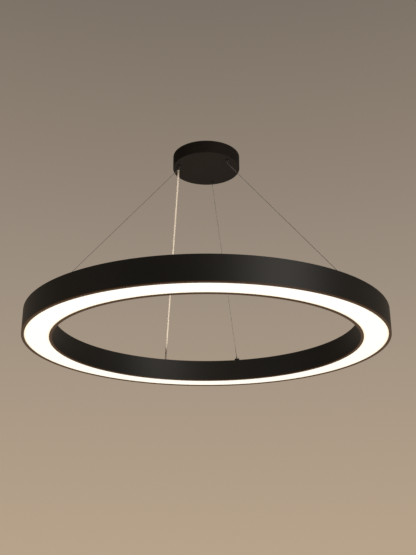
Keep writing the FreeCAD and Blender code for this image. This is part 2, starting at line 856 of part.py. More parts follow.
def make_wires():
    """The three steel wires, straight from the bend at the gripper's mouth to the ferrule."""
    reach = s.grip_reach.value
    start = FreeCAD.Vector(reach, 0, mouth_level)
    corner = FreeCAD.Vector(reach, 0, corner_level)
    pivot = FreeCAD.Vector(ring_middle.value, 0, pivot_level.value)
    towards = (pivot - corner).normalize()
    end = pivot - towards * (s.ferrule_reach.value - s.wire_short.value)
    for index, name in enumerate(GRIP_NAMES):
        route = rounded_route([start, corner, end], [s.wire_bend.value])
        add_shape(f"suspension_wire_{name}", [swept(route, s.wire_diameter.value)],
                  s.wire_azimuth.value + wire_step * index)
        tell_route(f"suspension_wire_{name}", route, [s.wire_bend.value])


def place_on_wire(body, turn):
    """Stand a piece that was turned about its own upright axis along the wire at the pivot."""
    tilt = FreeCAD.Rotation(FreeCAD.Vector(0, 1, 0), -slope_angle)
    place(body, polar(ring_middle.value, turn, pivot_level.value), upright_turn(turn) * tilt)


def make_swivels():
    """The barrel that turns in each fork and the ferrule crimped to the wire's end."""
    for index, name in enumerate(GRIP_NAMES):
        turn = s.wire_azimuth.value + wire_step * index
        barrel = new_body(f"anchor_barrel_{name}")
        half = s.barrel_length / 2
        trunnion_end = half + s.slide_play * 2 + s.fork_ear
        sketch = new_sketch(barrel, "XY_Plane")
        draw_outline(sketch, [
            (0.0, -trunnion_end), (s.trunnion / 2, -trunnion_end), (s.trunnion / 2, -half),
            (s.barrel_diameter / 2, -half), (s.barrel_diameter / 2, half), (s.trunnion / 2, half),
            (s.trunnion / 2, trunnion_end), (0.0, trunnion_end)])
        revolve(barrel, sketch, (sketch, ["V_Axis"]))
        around(barrel, (0.0, s.ferrule_diameter + s.slide_play * 2), 1)
        place_on_wire(barrel, turn)
        ferrule = new_body(f"wire_ferrule_{name}")
        outside = s.ferrule_diameter / 2
        bore = s.wire_diameter / 2 + s.slide_play
        head_top = -(s.barrel_diameter / 2)
        sketch = new_sketch(ferrule, "XZ_Plane")
        draw_outline(sketch, [
            (0.0, head_top - s.ferrule_head_high),
            (s.ferrule_head / 2, head_top - s.ferrule_head_high), (s.ferrule_head / 2, head_top),
            (outside, head_top), (outside, s.ferrule_reach), (bore, s.ferrule_reach),
            (bore, s.ferrule_reach - s.ferrule_depth), (0.0, s.ferrule_reach - s.ferrule_depth)])
        revolve(ferrule, sketch, (sketch, ["V_Axis"]))
        place_on_wire(ferrule, turn)


# ---------------------------------------------------------------- the ceiling canopy

# The side screws stand midway between the grippers.
screw_azimuth = s.wire_azimuth + wire_step / 2
lug_outside = canopy_radius - s.canopy_wall - s.plate_play
side_screw_level = -s.plate_thick - s.lug_length / 2


def make_canopy_cup():
    """The drawn cup: open at the ceiling, with holes for the grippers, the gland and the screws."""
    inside = canopy_radius - s.canopy_wall
    corners = [(0.0, canopy_under), (canopy_radius, canopy_under),
               (canopy_radius, 0.0), (inside, 0.0),
               (inside, canopy_floor), (0.0, canopy_floor)]
    cup = turned("canopy_cup", corners, screw_azimuth)
    doc.recompute()
    edge_names = [f"Edge{number_of}" for number_of, edge in enumerate(cup.Shape.Edges, start=1)
                  if is_level_ring(edge, canopy_radius.value, canopy_under.value)]
    drawn = cup.Tip
    rounding = cup.newObject("PartDesign::Fillet", "canopy_edge")
    rounding.Base = (drawn, edge_names)
    bind(rounding, Radius=s.canopy_round)
    cup.Tip = rounding
    around(cup, (s.grip_reach, s.grip_shank + s.hole_play * 2), s.wire_count,
           s.wire_azimuth - screw_azimuth)
    around(cup, (s.grip_reach, s.gland_shank + s.hole_play * 2), 1,
           s.cable_azimuth - screw_azimuth)
    drill_side(cup, s.side_screw + s.hole_play * 2)


def is_level_ring(edge, radius, level):
    """Whether an edge is a level circle of a radius at a height."""
    box = edge.BoundBox
    flat = abs(box.ZMin - level) < SAME_LENGTH and abs(box.ZMax - level) < SAME_LENGTH
    return flat and abs(box.XLength / 2 - radius) < SAME_LENGTH


def drill_side(body, diameter):
    """Level holes towards the axis for the side screws, between the grippers."""
    sketch = new_sketch(body, "YZ_Plane", level=canopy_radius)
    draw_circle(sketch, 0.0, side_screw_level, diameter)
    repeat(body, [cut_along(body, sketch, s.side_screw_length)], s.wire_count)


def make_ceiling_plate():
    """The plate screwed to the ceiling, with lugs turned down to take the side screws."""
    plate = turned("ceiling_plate", [(s.supply_hole / 2, -s.plate_thick), (lug_outside, -s.plate_thick),
                                     (lug_outside, 0.0),
                                     (s.supply_hole / 2, 0.0)],
                   screw_azimuth)
    sketch = new_sketch(plate, level=-s.plate_thick * 0.5)
    draw_outline(sketch, box_corners(lug_outside - s.lug_thick, 0.0,
                                     s.lug_thick, s.lug_width))
    lug = pad(plate, sketch, s.lug_length + s.plate_thick * 0.5, down=True)
    repeat(plate, [lug], s.wire_count)
    drill_side(plate, s.side_screw + s.thread_play * 2)
    around(plate, (s.supply_hole, s.side_screw + s.thread_play * 2), 1)
    around(plate, (s.ceiling_screw_circle / 2, s.ceiling_screw_hole), CEILING_SCREWS,
           -screw_azimuth)


def make_side_screws():
    """Low-headed screws through the cup's wall into the lugs."""
    body = new_body("canopy_side_screws", screw_azimuth)
    sketch = new_sketch(body, "XZ_Plane")
    tip = canopy_radius - s.side_screw_length
    head = canopy_radius + s.side_screw_head_high
    low = side_screw_level
    draw_outline(sketch, [(tip, low), (head, low), (head, low + s.side_screw_head / 2),
                          (canopy_radius, low + s.side_screw_head / 2),
                          (canopy_radius, low + s.side_screw / 2), (tip, low + s.side_screw / 2)])
    axis = sketch.addGeometry(Part.LineSegment(
        FreeCAD.Vector(tip.value, low.value, 0), FreeCAD.Vector(head.value, low.value, 0)), True)
    pin_point(sketch, axis, 1, tip, low)
    pin_point(sketch, axis, 2, head, low)
    screw = revolve(body, sketch, (sketch, ["Axis0"]))
    repeat(body, [screw], s.wire_count)


# ---------------------------------------------------------------- wire grippers

collar_under = canopy_under - s.grip_collar_high
shank_top = canopy_under + s.grip_shank_long
bore_radius = s.sleeve_diameter / 2 + s.slide_play
cone_low = collar_under + s.cone_start
cone_top = cone_low + s.cone_high
cone_wide = bore_radius + s.cone_spread
ball_reach = s.wire_diameter / 2 + s.ball_diameter / 2 + s.slide_play
# The ball touches the cone where the cone's wall is a ball's radius away, square to the wall.
cone_slant = math.hypot(s.cone_spread.value, s.cone_high.value) / s.cone_high.value
ball_level = cone_low + (ball_reach + (s.ball_diameter / 2 + s.slide_play) * cone_slant
                         - bore_radius) / s.cone_spread * s.cone_high
cap_under = shank_top - s.cap_high
cap_top = shank_top + s.cap_lip_high
sleeve_top = cone_top + s.sleeve_flange_high


def make_gripper_bodies():
    """The screwed bodies, each with a cone that narrows downwards to wedge the balls."""
    for index, name in enumerate(GRIP_NAMES):
        spindles(f"gripper_body_{name}", [(s.grip_reach, [
            (bore_radius, collar_under), (s.grip_collar / 2, collar_under),
            (s.grip_collar / 2, canopy_under), (s.grip_shank / 2, canopy_under),
            (s.grip_shank / 2, shank_top), (s.chamber / 2, shank_top), (s.chamber / 2, cone_top),
            (cone_wide, cone_top), (bore_radius, cone_low)])], 1,
            s.wire_azimuth + wire_step * index)
    cap_bore = s.wire_diameter / 2 + s.hole_play
    cap_lip = s.grip_shank / 2
    spindles("gripper_caps", [(s.grip_reach, [
        (cap_bore, cap_under), (s.chamber / 2 - s.thread_play, cap_under),
        (s.chamber / 2 - s.thread_play, shank_top), (cap_lip, shank_top),
        (cap_lip, cap_top), (cap_bore, cap_top)])], s.wire_count, s.wire_azimuth)


def make_release_sleeves():
    """The sleeves that carry the balls; the nose sticks out so that it can be pushed up."""
    outside = s.sleeve_diameter / 2
    bore = s.sleeve_bore / 2
    for index, name in enumerate(GRIP_NAMES):
        turn = s.wire_azimuth.value + wire_step * index
        sleeve = turned(f"release_sleeve_{name}", [
            (bore, collar_under - sleeve_nose), (outside, collar_under - sleeve_nose),
            (outside, cone_top), (s.sleeve_flange / 2, cone_top), (s.sleeve_flange / 2, sleeve_top),
            (bore, sleeve_top)])
        cut_ball_windows(sleeve)
        place(sleeve, polar(s.grip_reach.value, turn, 0.0), upright_turn(turn))
        add_balls(name, turn)
        add_spring(name, turn)


def cut_ball_windows(sleeve):
    """Round windows in the sleeve's wall, one for each ball, a little wider than the ball."""
    sketch = new_sketch(sleeve, "YZ_Plane")
    draw_circle(sketch, 0.0, ball_level, s.ball_diameter + s.slide_play * 2)
    window = cut_along(sleeve, sketch, s.sleeve_diameter, away=True)
    repeat(sleeve, [window], s.ball_count)


def add_balls(name, turn):
    """The balls between the wire and the cone."""
    balls = []
    for index in range(int(s.ball_count.value)):
        spoke = polar(ball_reach.value, 360.0 / s.ball_count.value * index, ball_level.value)
        centre = spoke + FreeCAD.Vector(s.grip_reach.value, 0, 0)
        balls.append(Part.makeSphere(s.ball_diameter.value / 2, centre))
    add_shape(f"gripper_balls_{name}", balls, turn)


def add_spring(name, turn):
    """The coil between the sleeve's flange and the cap, its turns as quarter circles."""
    wire = s.spring_wire.value
    low = sleeve_top.value + wire / 2
    high = cap_under.value - wire / 2
    radius = s.sleeve_flange.value / 2 - wire / 2
    coil = Part.makeHelix((high - low) / s.spring_turns.value, high - low, radius)
    coil.translate(FreeCAD.Vector(s.grip_reach.value, 0, low))
    add_shape(f"gripper_spring_{name}", [swept(Part.Wire(coil), wire)], turn)


def make_wire_tails():
    """What is left of each wire above its mouth: up through the gripper and bent over."""
    reach = s.grip_reach.value
    turn_level = cap_top.value + s.tail_bend.value + s.tail_lead.value
    tails = []
    for index in range(int(s.wire_count.value)):
        route = rounded_route([
            FreeCAD.Vector(reach, 0, mouth_level), FreeCAD.Vector(reach, 0, turn_level),
            FreeCAD.Vector(reach, s.tail_run.value, turn_level)], [s.tail_bend.value])
        tail = swept(route, s.wire_diameter.value)
        tail.rotate(FreeCAD.Vector(), FreeCAD.Vector(0, 0, 1), wire_step * index)
        tails.append(tail)
    add_shape("wire_tails", tails, s.wire_azimuth.value)


# ---------------------------------------------------------------- power cable

gland_mouth = canopy_under - s.gland_collar_high - s.gland_nose_high
ring_gland_mouth = ring_top + s.gland_collar_high + s.gland_nose_high


def gland_outline(seat, way, shank_end):
    """A cable gland's half outline: way is +1 for a nose that points up from its seat."""
    bore = s.cable_diameter / 2 + s.slide_play
    collar = seat + s.gland_collar_high * way
    mouth = collar + s.gland_nose_high * way
    return [(bore, shank_end), (s.gland_shank / 2, shank_end), (s.gland_shank / 2, seat),
            (s.gland_collar / 2, seat), (s.gland_collar / 2, collar),
            (s.gland_collar / 2 - s.gland_step, collar), (s.gland_nose / 2, mouth), (bore, mouth)]


def make_glands():
    """One gland in the canopy and one in the ring's cover."""
    canopy_end = canopy_floor + s.gland_nut_high + s.thread_end
    spindles("canopy_cable_gland", [(s.grip_reach, gland_outline(canopy_under, -1.0, canopy_end))],
             1, s.cable_azimuth)
    ring_end = cover_under - s.gland_nut_high - s.thread_end
    spindles("ring_cable_gland", [(ring_middle, gland_outline(ring_top, 1.0, ring_end))], 1,
             s.cable_ring_azimuth)


def make_power_cable():
    """The clear cable, taut between the two glands' mouths."""
    top = polar(s.grip_reach.value, s.cable_azimuth.value, gland_mouth.value)
    end = polar(ring_middle.value, s.cable_ring_azimuth.value, ring_gland_mouth.value)
    lead = FreeCAD.Vector(0, 0, s.cable_bend.value / 2)
    route = rounded_route([top, top - lead, end + lead, end],
                          [s.cable_bend.value, s.cable_bend.value])
    add_shape("power_cable", [swept(route, s.cable_diameter.value)])
    tell_route("power_cable", route, [s.cable_bend.value, s.cable_bend.value])


def cable_end(label, start, way, along, run, block_face, azimuth):
    """A cable's last stretch from a gland's mouth, and its three cores up to a terminal block.

    start is in the frame turned to azimuth, way the cable's heading (+1 up), and along the level
    direction towards the block."""
    bend = s.cable_diameter.value * SHEATH_BEND
    across = FreeCAD.Vector(-along.y, along.x, 0)
    corner = start + FreeCAD.Vector(0, 0, way * run)
    sheath_end = corner + along * (bend * 2.0)
    sheath = swept(rounded_route([start, corner, sheath_end], [bend]), s.cable_diameter.value)
    pieces = [sheath]
    reach = block_face - sheath_end.dot(along)
    for side in (-1.0, 0.0, 1.0):
        near = sheath_end + across * (side * s.core_diameter.value * CORE_PITCH)
        far = sheath_end + along * reach + across * (side * s.core_spread.value)
        near_bend = near + along * (reach * CORE_STRAIGHT)
        far_bend = far - along * (reach * CORE_STRAIGHT)
        if side == 0.0:
            route = Part.Wire([Part.LineSegment(near, far).toShape()])
        else:
            route = rounded_route([near, near_bend, far_bend, far], [s.core_diameter.value * 2.0] * 2)
        pieces.append(swept(route, s.core_diameter.value))
    add_shape(label, pieces, azimuth)


def make_cable_ends():
    """The cable's ends in the canopy and in the ring."""
    cable_end("canopy_cable_end", FreeCAD.Vector(s.grip_reach.value, 0, gland_mouth.value), 1.0,
              FreeCAD.Vector(-1, 0, 0), mains_hole_level.value - gland_mouth.value,
              -mains_face.value, s.cable_azimuth.value)
    cable_end("ring_cable_end", FreeCAD.Vector(ring_middle.value, 0, ring_gland_mouth.value), -1.0,
              FreeCAD.Vector(0, 1, 0), ring_gland_mouth.value - ring_hole_level.value,
              ring_block_face.value, s.cable_ring_azimuth.value)


# ---------------------------------------------------------------- terminal blocks

mains_face = s.supply_hole / 2 + s.terminal_width + s.mains_gap
mains_under = -s.plate_thick - s.terminal_high
mains_hole_level = mains_under + s.terminal_high / 2
ring_hole_level = driver_floor + s.terminal_high / 2
ring_block_face = s.ring_block_gap


def terminal_block(label, turn, x, y, level, length_x, length_y):
    """The block's body, standing on its level."""
    block = new_body(label, turn)
    sketch = new_sketch(block, level=level)
    draw_outline(sketch, box_corners(x, y, length_x, length_y))
    pad(block, sketch, s.terminal_high)
    return block


def make_terminal_blocks():
    """The mains block under the ceiling plate and the one on the gear tray.

    The wire holes run along the short way of each block, one for each pole."""
    mains = terminal_block("mains_terminal_block", s.cable_azimuth,
                           mains_face - s.terminal_width / 2, 0.0,
                           mains_under, s.terminal_width, s.terminal_length)
    ring = terminal_block("ring_terminal_block", s.cable_ring_azimuth, ring_middle,
                          ring_block_face + s.terminal_width / 2, driver_floor,
                          s.terminal_length, s.terminal_width)
    screws = new_body("mains_terminal_screws", s.cable_azimuth)
    for pole in POLES:
        sketch = new_sketch(mains, "YZ_Plane")
        draw_circle(sketch, s.core_spread * pole, mains_hole_level, s.terminal_hole)
        cut_through(mains, sketch)
        sketch = new_sketch(ring, "XZ_Plane")
        draw_circle(sketch, ring_middle + s.core_spread * pole, ring_hole_level, s.terminal_hole)
        cut_through(ring, sketch)
        for share in TERMINAL_SHARES:
            sketch = new_sketch(screws, level=mains_under)
            draw_circle(sketch, mains_face - s.terminal_width * share, s.core_spread * pole, s.screw)
            pad(screws, sketch, s.terminal_screw_high, down=True)


def make_earth_screw():
    """The screw in the ceiling plate that takes the earth core."""
    spindles("earth_screw", [(s.supply_hole, headed_up(
        s.side_screw / 2, s.side_screw_head / 2, -s.plate_thick - s.side_screw_head_high,
        -s.hole_play, s.side_screw_head_high))], 1, screw_azimuth)


# ---------------------------------------------------------------- leads in the ring

def make_ring_leads():
    """Leads along the channel: terminal block to the first driver, and driver to driver."""
    leads = []
    pitch = s.core_diameter * RING_LEAD_PITCH
    inmost = lead_reach - pitch.value - s.core_diameter.value / 2
    block_back = ring_block_face + s.terminal_width + s.hole_play
    block_turn = math.degrees(math.asin(block_back.value / inmost))
    first_driver = driver_azimuth.value - s.cable_ring_azimuth.value
    spans = [(block_turn, first_driver - driver_half_turn)]
    for index in range(1, int(s.driver_count.value)):
        before = first_driver + wire_step * (index - 1)
        spans.append((before + driver_half_turn, before + wire_step - driver_half_turn))
    for start, end in spans:
        for side in POLES:
            arc = Part.Wire(Part.makeCircle(lead_reach + pitch.value * side,
                                            FreeCAD.Vector(0, 0, lead_level.value),
                                            FreeCAD.Vector(0, 0, 1), start, end))
            leads.append(swept(arc, s.core_diameter.value))
    add_shape("ring_leads", leads, s.cable_ring_azimuth.value)


def make_output_leads():
    """The sheathed lead from each driver's end, down through the tray and to the fed plug."""
    level = driver_floor.value + s.driver_high.value * OUTPUT_SHARE
    plug_level = board_under.value - s.plug_thick.value / 2
    end_y = s.driver_length.value / 2
    hole = polar(lead_hole_reach.value, fed_plug_turn, level)
    drop = FreeCAD.Vector(0, 0, plug_level - level)
    plug = polar(ring_middle.value - s.plug_width.value / 2, fed_plug_turn, plug_level)
    start = FreeCAD.Vector(driver_reach.value - s.driver_width.value * OUTPUT_SIDE, end_y, level)
    out = start + FreeCAD.Vector(0, (hole.y - end_y) * OUTPUT_STRAIGHT, 0)
    bend = s.output_lead.value
    route = rounded_route([start, out, hole, hole + drop, plug], [bend, bend, bend])
    leads = []
    for index in range(int(s.driver_count.value)):
        lead = swept(route, s.output_lead.value)
        lead.rotate(FreeCAD.Vector(), FreeCAD.Vector(0, 0, 1), wire_step * index)
        leads.append(lead)
    add_shape("driver_output_leads", leads, driver_azimuth.value)


# ---------------------------------------------------------------- build and write

def build():
    """Make every piece of the lamp."""
    make_bands()
    make_cover()
    make_tray()
    make_diffuser()
    make_boards()
    make_chips()
    make_board_plugs()
    make_drivers()
    make_bridges()
    make_forks()
    make_ring_nuts()
    make_swivels()
    make_wires()
    make_canopy_cup()
    make_ceiling_plate()
    make_side_screws()
    make_gripper_bodies()
    make_canopy_nuts()
    make_release_sleeves()
    make_wire_tails()
    make_glands()
    make_power_cable()
    make_terminal_blocks()
    make_earth_screw()
    make_cable_ends()
    make_ring_leads()
    make_output_leads()


def write_parts():
    """Check every object and write each piece to its own file."""
    doc.recompute()
    failed = [item.Name for item in doc.Objects if {"Invalid", "Error"} & set(item.State)]
    if failed:
        raise ValueError(f"failed objects: {failed}")
    os.makedirs("parts", exist_ok=True)
    for item in doc.Objects:
        if item.TypeId not in ("PartDesign::Body", "Part::Feature"):
            continue
        if item.Shape.isNull() or not item.Shape.isValid() or not item.Shape.Solids:
            raise ValueError(f"{item.Label} has no valid solid")
        item.Shape.exportStep(f"parts/{item.Label}.step")


build()
write_parts()
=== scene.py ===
"""Dresses the ring lamp: its looks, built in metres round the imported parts."""

import logging
import math
from bisect import bisect_right
from dataclasses import dataclass
from enum import Enum
from typing import Callable, Iterable, Optional, Sequence, Union

import bmesh
import bpy
from bmesh.types import BMesh
from bpy.types import ID, Material, Mesh, NodeSocket, NodeTree, Object
from mathutils import Matrix, Vector


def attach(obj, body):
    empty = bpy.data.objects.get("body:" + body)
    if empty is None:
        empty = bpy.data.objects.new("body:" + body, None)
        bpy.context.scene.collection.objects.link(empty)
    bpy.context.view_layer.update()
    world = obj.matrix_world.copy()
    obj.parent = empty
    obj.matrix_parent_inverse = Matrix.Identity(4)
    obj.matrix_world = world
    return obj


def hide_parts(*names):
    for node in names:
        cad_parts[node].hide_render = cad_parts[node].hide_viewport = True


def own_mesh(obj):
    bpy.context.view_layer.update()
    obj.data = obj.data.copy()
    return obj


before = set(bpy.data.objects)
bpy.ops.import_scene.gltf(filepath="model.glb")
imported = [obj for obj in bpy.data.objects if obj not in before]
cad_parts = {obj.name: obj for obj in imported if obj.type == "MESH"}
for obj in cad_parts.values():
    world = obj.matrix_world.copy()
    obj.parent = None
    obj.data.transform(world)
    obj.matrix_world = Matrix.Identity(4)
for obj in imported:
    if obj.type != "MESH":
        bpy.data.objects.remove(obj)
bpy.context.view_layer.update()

logging.basicConfig(level=logging.INFO, format="%(message)s")
log = logging.getLogger("lamp")

Colour = tuple[float, float, float]
Point = tuple[float, float, float]
Profile = Sequence[tuple[float, float]]
Span = tuple[float, float]

UPWARDS = Vector((0.0, 0.0, 1.0))
BLACK: Colour = (0.0, 0.0, 0.0)
TINY = 1e-6
# Edges sharper than this, in degrees, stay sharp.
SHARP_ANGLE = 35.0
# Where the three wires and the cable's two glands stand round the axis, in degrees.
GRIP_AZIMUTHS: dict[str, float] = {"far": 77.0, "left": 197.0, "right": 317.0}
CANOPY_GLAND_AZIMUTH = 186.0
RING_GLAND_AZIMUTH = 107.0
# How far the grippers and the canopy's gland stand off the axis.
GRIP_REACH = 0.084
# Radii of the holes for the grippers' and forks' studs, and for the glands.
STUD_HOLE = 0.0042
GLAND_HOLE = 0.0052


def from_screen(red: int, green: int, blue: int) -> Colour:
    """Turn a screen colour into the shaders' linear one, by the sRGB curve.

    Args:
        red: Its red, 0 to 255.
        green: Its green, 0 to 255.
        blue: Its blue, 0 to 255.

    Returns:
        The linear colour.
    """

    def linear(level: int) -> float:
        """One channel, 0 to 255, as linear light."""
        share = level / 255.0
        return share / 12.92 if share <= 0.04045 else ((share + 0.055) / 1.055) ** 2.4

    return linear(red), linear(green), linear(blue)


def around(reach: float, azimuth: float, level: float) -> Vector:
    """The point at a reach from the lamp's axis, an azimuth from +X in degrees, and a level."""
    angle = math.radians(azimuth)
    return Vector((reach * math.cos(angle), reach * math.sin(angle), level))


class Body(Enum):
    """The bodies that pieces ride on."""

    CANOPY = "canopy"
    RING = "ring"


# ---------- node trees


def _operator(operation: str, swapped: bool = False) -> Callable[["Value", "Number"], "Value"]:
    """Make a method that joins a socket and another number by a Math node.

    Args:
        operation: What the node does.
        swapped: Whether the other number comes first.

    Returns:
        The method.
    """

    def method(self: "Value", other: "Number") -> "Value":
        """Join the two."""
        first, second = (other, self) if swapped else (self, other)
        return self.graph.maths(operation, first, second)

    return method


class Value:
    """A node's socket that can be added, multiplied and so on."""

    __add__ = _operator("ADD")
    __radd__ = _operator("ADD", swapped=True)
    __sub__ = _operator("SUBTRACT")
    __rsub__ = _operator("SUBTRACT", swapped=True)
    __mul__ = _operator("MULTIPLY")
    __truediv__ = _operator("DIVIDE")

    def __init__(self, graph: "Graph", socket: NodeSocket) -> None:
        """Hold a socket of a tree."""
        self.graph = graph
        self.socket = socket

    def ramp(self, low: float, high: float) -> "Value":
        """Rise smoothly from 0 at low to 1 at high."""
        inputs = {"Value": self, "From Min": low, "From Max": high}
        return self.graph.node("ShaderNodeMapRange", {"interpolation_type": "SMOOTHSTEP"}, inputs)


Number = Union[Value, float]


class Graph:
    """A node tree, and the one method that makes its nodes."""

    def __init__(self, tree: NodeTree) -> None:
        """Take a tree and empty it."""
        self.tree = tree
        self.tree.nodes.clear()

    def node(
        self,
        kind: str,
        settings: Optional[dict[str, object]] = None,
        inputs: Optional[dict[Union[str, int], object]] = None,
        output: Union[str, int] = 0,
    ) -> Value:
        """Make any node.

        Args:
            kind: The node's type.
            settings: Its settings, set first; "stops" are a ramp's places and colours.
            inputs: Values or links for its sockets, by name or number.
            output: The socket to give back, by name or number.

        Returns:
            The chosen output.
        """
        made = self.tree.nodes.new(kind)
        for name, setting in (settings or {}).items():
            if name == "stops":
                while len(made.color_ramp.elements) < len(setting):
                    made.color_ramp.elements.new(1.0)
                for stop, (place, colour) in zip(made.color_ramp.elements, setting):
                    stop.position = place
                    stop.color = (*colour, 1.0)
            else:
                setattr(made, name, setting)
        for key, given in (inputs or {}).items():
            socket = made.inputs[key]
            if isinstance(given, Value):
                self.tree.links.new(given.socket, socket)
            elif socket.type == "RGBA" and len(given) == 3:
                socket.default_value = (*given, 1.0)
            else:
                socket.default_value = given
        if not made.outputs:
            return Value(self, made.inputs[0])
        return Value(self, made.outputs[output])

    def maths(self, operation: str, first: Number, second: Number = 0.0) -> Value:
        """Join two numbers, sockets or plain ones, by a Math node."""
        return self.node("ShaderNodeMath", {"operation": operation}, {0: first, 1: second})

    def axis(self, vector: Value, name: str) -> Value:
        """One of X, Y and Z of a vector."""
        return self.node("ShaderNodeSeparateXYZ", inputs={0: vector}, output=name)


class Shader(Graph):
    """One finish's node tree."""

    def __init__(self, name: str) -> None:
        """Start a material with an empty tree.

        Args:
            name: The material's name.
        """
        self.material = bpy.data.materials.new(name)
        self.material.use_nodes = True
        super().__init__(self.material.node_tree)

    def place(self) -> Value:
        """The place on the piece, in metres."""
        return self.node("ShaderNodeTexCoord", output="Object")

    def reach(self) -> Value:
        """Measure the distance from the lamp's axis.

        Returns:
            The distance, in metres.
        """
        level = {0: self.place(), 1: (1.0, 1.0, 0.0)}
        flat = self.node("ShaderNodeVectorMath", {"operation": "MULTIPLY"}, level)
        return self.node("ShaderNodeVectorMath", {"operation": "LENGTH"}, {0: flat}, "Value")

    def noise(self, scale: float, detail: float, where: Optional[Value] = None) -> Value:
        """Add a cloudy pattern.

        Args:
            scale: Its cells in a metre.
            detail: How many finer layers it has.
            where: The place that it is read at, if not the place on the piece.

        Returns:
            The pattern, about 0 to 1.
        """
        return self.node(
            "ShaderNodeTexNoise",
            inputs={"Vector": where or self.place(), "Scale": scale, "Detail": detail},
        )

    def mix(self, share: Number, first: object, second: object) -> Value:
        """Blend two colours.

        Args:
            share: How much of the second colour shows, 0 to 1.
            first: The first colour, plain or from a socket.
            second: The second colour, plain or from a socket.

        Returns:
            The blend.
        """
        # Inputs 6 and 7 are the node's two colours, and output 2 is their blend.
        return self.node(
            "ShaderNodeMix", {"data_type": "RGBA"}, {0: share, 6: first, 7: second}, output=2
        )

    def bump(self, height: Value, depth: float) -> Value:
        """Raise a surface by a pattern.

        Args:
            height: The pattern.
            depth: How far its full step stands up, in metres.

        Returns:
            The raised normal.
        """
        return self.node(
            "ShaderNodeBump", inputs={"Height": height, "Distance": depth, "Strength": 1.0}
        )

    def surface(self, **sockets: object) -> Material:
        """Close the tree with a Principled surface.

        Args:
            sockets: The surface's inputs, their names with _ for blanks.

        Returns:
            The material.
        """
        inputs = {name.replace("_", " "): given for name, given in sockets.items()}
        skin = self.node("ShaderNodeBsdfPrincipled", inputs=inputs)
        self.node("ShaderNodeOutputMaterial", inputs={"Surface": skin})
        return self.material


# ---------- finishes
#
# In the finishes, _cells is how many cells of a pattern lie in a metre, _span is where its
# ramp starts and ends, _share is how far it goes towards the other colour and _dulls is what
# it adds to the roughness.


@dataclass(frozen=True)
class PowderCoat:
    """Satin powder coat over metal: near black, finely pebbled, with a little dust on top.

    Where it edges the lit opal, a faint painted glow warms it below a height: an orange emission
    that stands in for the opal's light falling on it.
    """

    name: str
    shade: Colour
    raised: Colour
    roughness: float = 0.46
    gloss: float = 0.13
    cloud_dulls: float = 0.08
    pebble: float = 0.0011
    pebble_depth: float = 0.00003
    dust: float = 0.045
    dust_shade: Colour = from_screen(150, 142, 130)
    # Painted light: an orange emission below a height stands in for the opal's light on the rims.
    painted_spill: float = 0.0
    painted_spill_from: float = -0.586
    painted_spill_full: float = -0.5895
    painted_spill_colour: Colour = from_screen(255, 152, 0)
    cloud_cells: float = 4.0
    cloud_span: Span = (0.3, 0.75)
    speck_cells: float = 160.0
    speck_span: Span = (0.25, 0.85)
    upward_span: Span = (0.5, 0.95)
    dust_dulls: float = 2.0

    def make(self) -> Material:
        """Build the material.

        Returns:
            The finished material.
        """
        shader = Shader(self.name)
        cloud = shader.noise(self.cloud_cells, detail=4.0)
        pebbles = shader.noise(1.0 / self.pebble, detail=1.5)
        facing = shader.axis(shader.node("ShaderNodeNewGeometry", output="Normal"), "Z")
        specks = shader.noise(self.speck_cells, detail=6.0)
        dust = facing.ramp(*self.upward_span) * specks.ramp(*self.speck_span) * self.dust
        colour = shader.mix(cloud.ramp(*self.cloud_span), self.shade, self.raised)
        sockets = {
            "Base_Color": shader.mix(dust, colour, self.dust_shade),
            "Roughness": self.roughness + cloud * self.cloud_dulls + dust * self.dust_dulls,
            "Specular_IOR_Level": self.gloss,
            "Normal": shader.bump(pebbles, self.pebble_depth),
        }
        # Painted light: the coat glows orange below a height, standing in for the opal's light on
        # its rims.
        if self.painted_spill:
            level = shader.axis(shader.place(), "Z")
            near = 1.0 - level.ramp(self.painted_spill_full, self.painted_spill_from)
            sockets["Emission_Color"] = shader.mix(near, BLACK, self.painted_spill_colour)
            sockets["Emission_Strength"] = self.painted_spill
        return shader.surface(**sockets)


@dataclass(frozen=True)
class PlatedMetal:
    """Plated or brushed metal, with fine scratches and slight stains."""

    name: str
    shade: Colour
    stain: Colour
    roughness: float = 0.3
    brushed: Point = (220.0, 220.0, 220.0)
    metallic: float = 1.0
    gloss: float = 0.5
    scratch_depth: float = 0.00002
    scratch_cells: float = 6.0
    scratch_dulls: float = 0.12
    stain_cells: float = 45.0
    stain_span: Span = (0.35, 0.75)
    stain_share: float = 0.6
    stain_dulls: float = 0.06

    def make(self) -> Material:
        """Build the material.

        Returns:
            The finished material.
        """
        shader = Shader(self.name)
        stretched = shader.node(
            "ShaderNodeMapping", inputs={"Vector": shader.place(), "Scale": self.brushed}
        )
        lines = shader.noise(self.scratch_cells, detail=3.0, where=stretched)
        stains = shader.noise(self.stain_cells, detail=3.0).ramp(*self.stain_span)
        return shader.surface(
            Base_Color=shader.mix(stains * self.stain_share, self.shade, self.stain),
            Metallic=self.metallic,
            Specular_IOR_Level=self.gloss,
            Roughness=self.roughness + lines * self.scratch_dulls + stains * self.stain_dulls,
            Normal=shader.bump(lines, self.scratch_depth),
        )


@dataclass(frozen=True)
class Moulded:
    """Moulded plastic with a fine spark-eroded grain."""

    name: str
    shade: Colour
    worn: Colour
    roughness: float = 0.5
    grain: float = 0.0004
    gloss: float = 0.5
    grain_depth: float = 0.00003
    patch_cells: float = 60.0
    patch_span: Span = (0.3, 0.8)
    patch_dulls: float = 0.08

    def make(self) -> Material:
        """Build the material.

        Returns:
            The finished material.
        """
        shader = Shader(self.name)
        grain = shader.noise(1.0 / self.grain, detail=2.0)
        patches = shader.noise(self.patch_cells, detail=3.0).ramp(*self.patch_span)
        return shader.surface(
            Base_Color=shader.mix(patches, self.shade, self.worn),
            Roughness=self.roughness + patches * self.patch_dulls,
            Specular_IOR_Level=self.gloss,
            Normal=shader.bump(grain, self.grain_depth),
        )


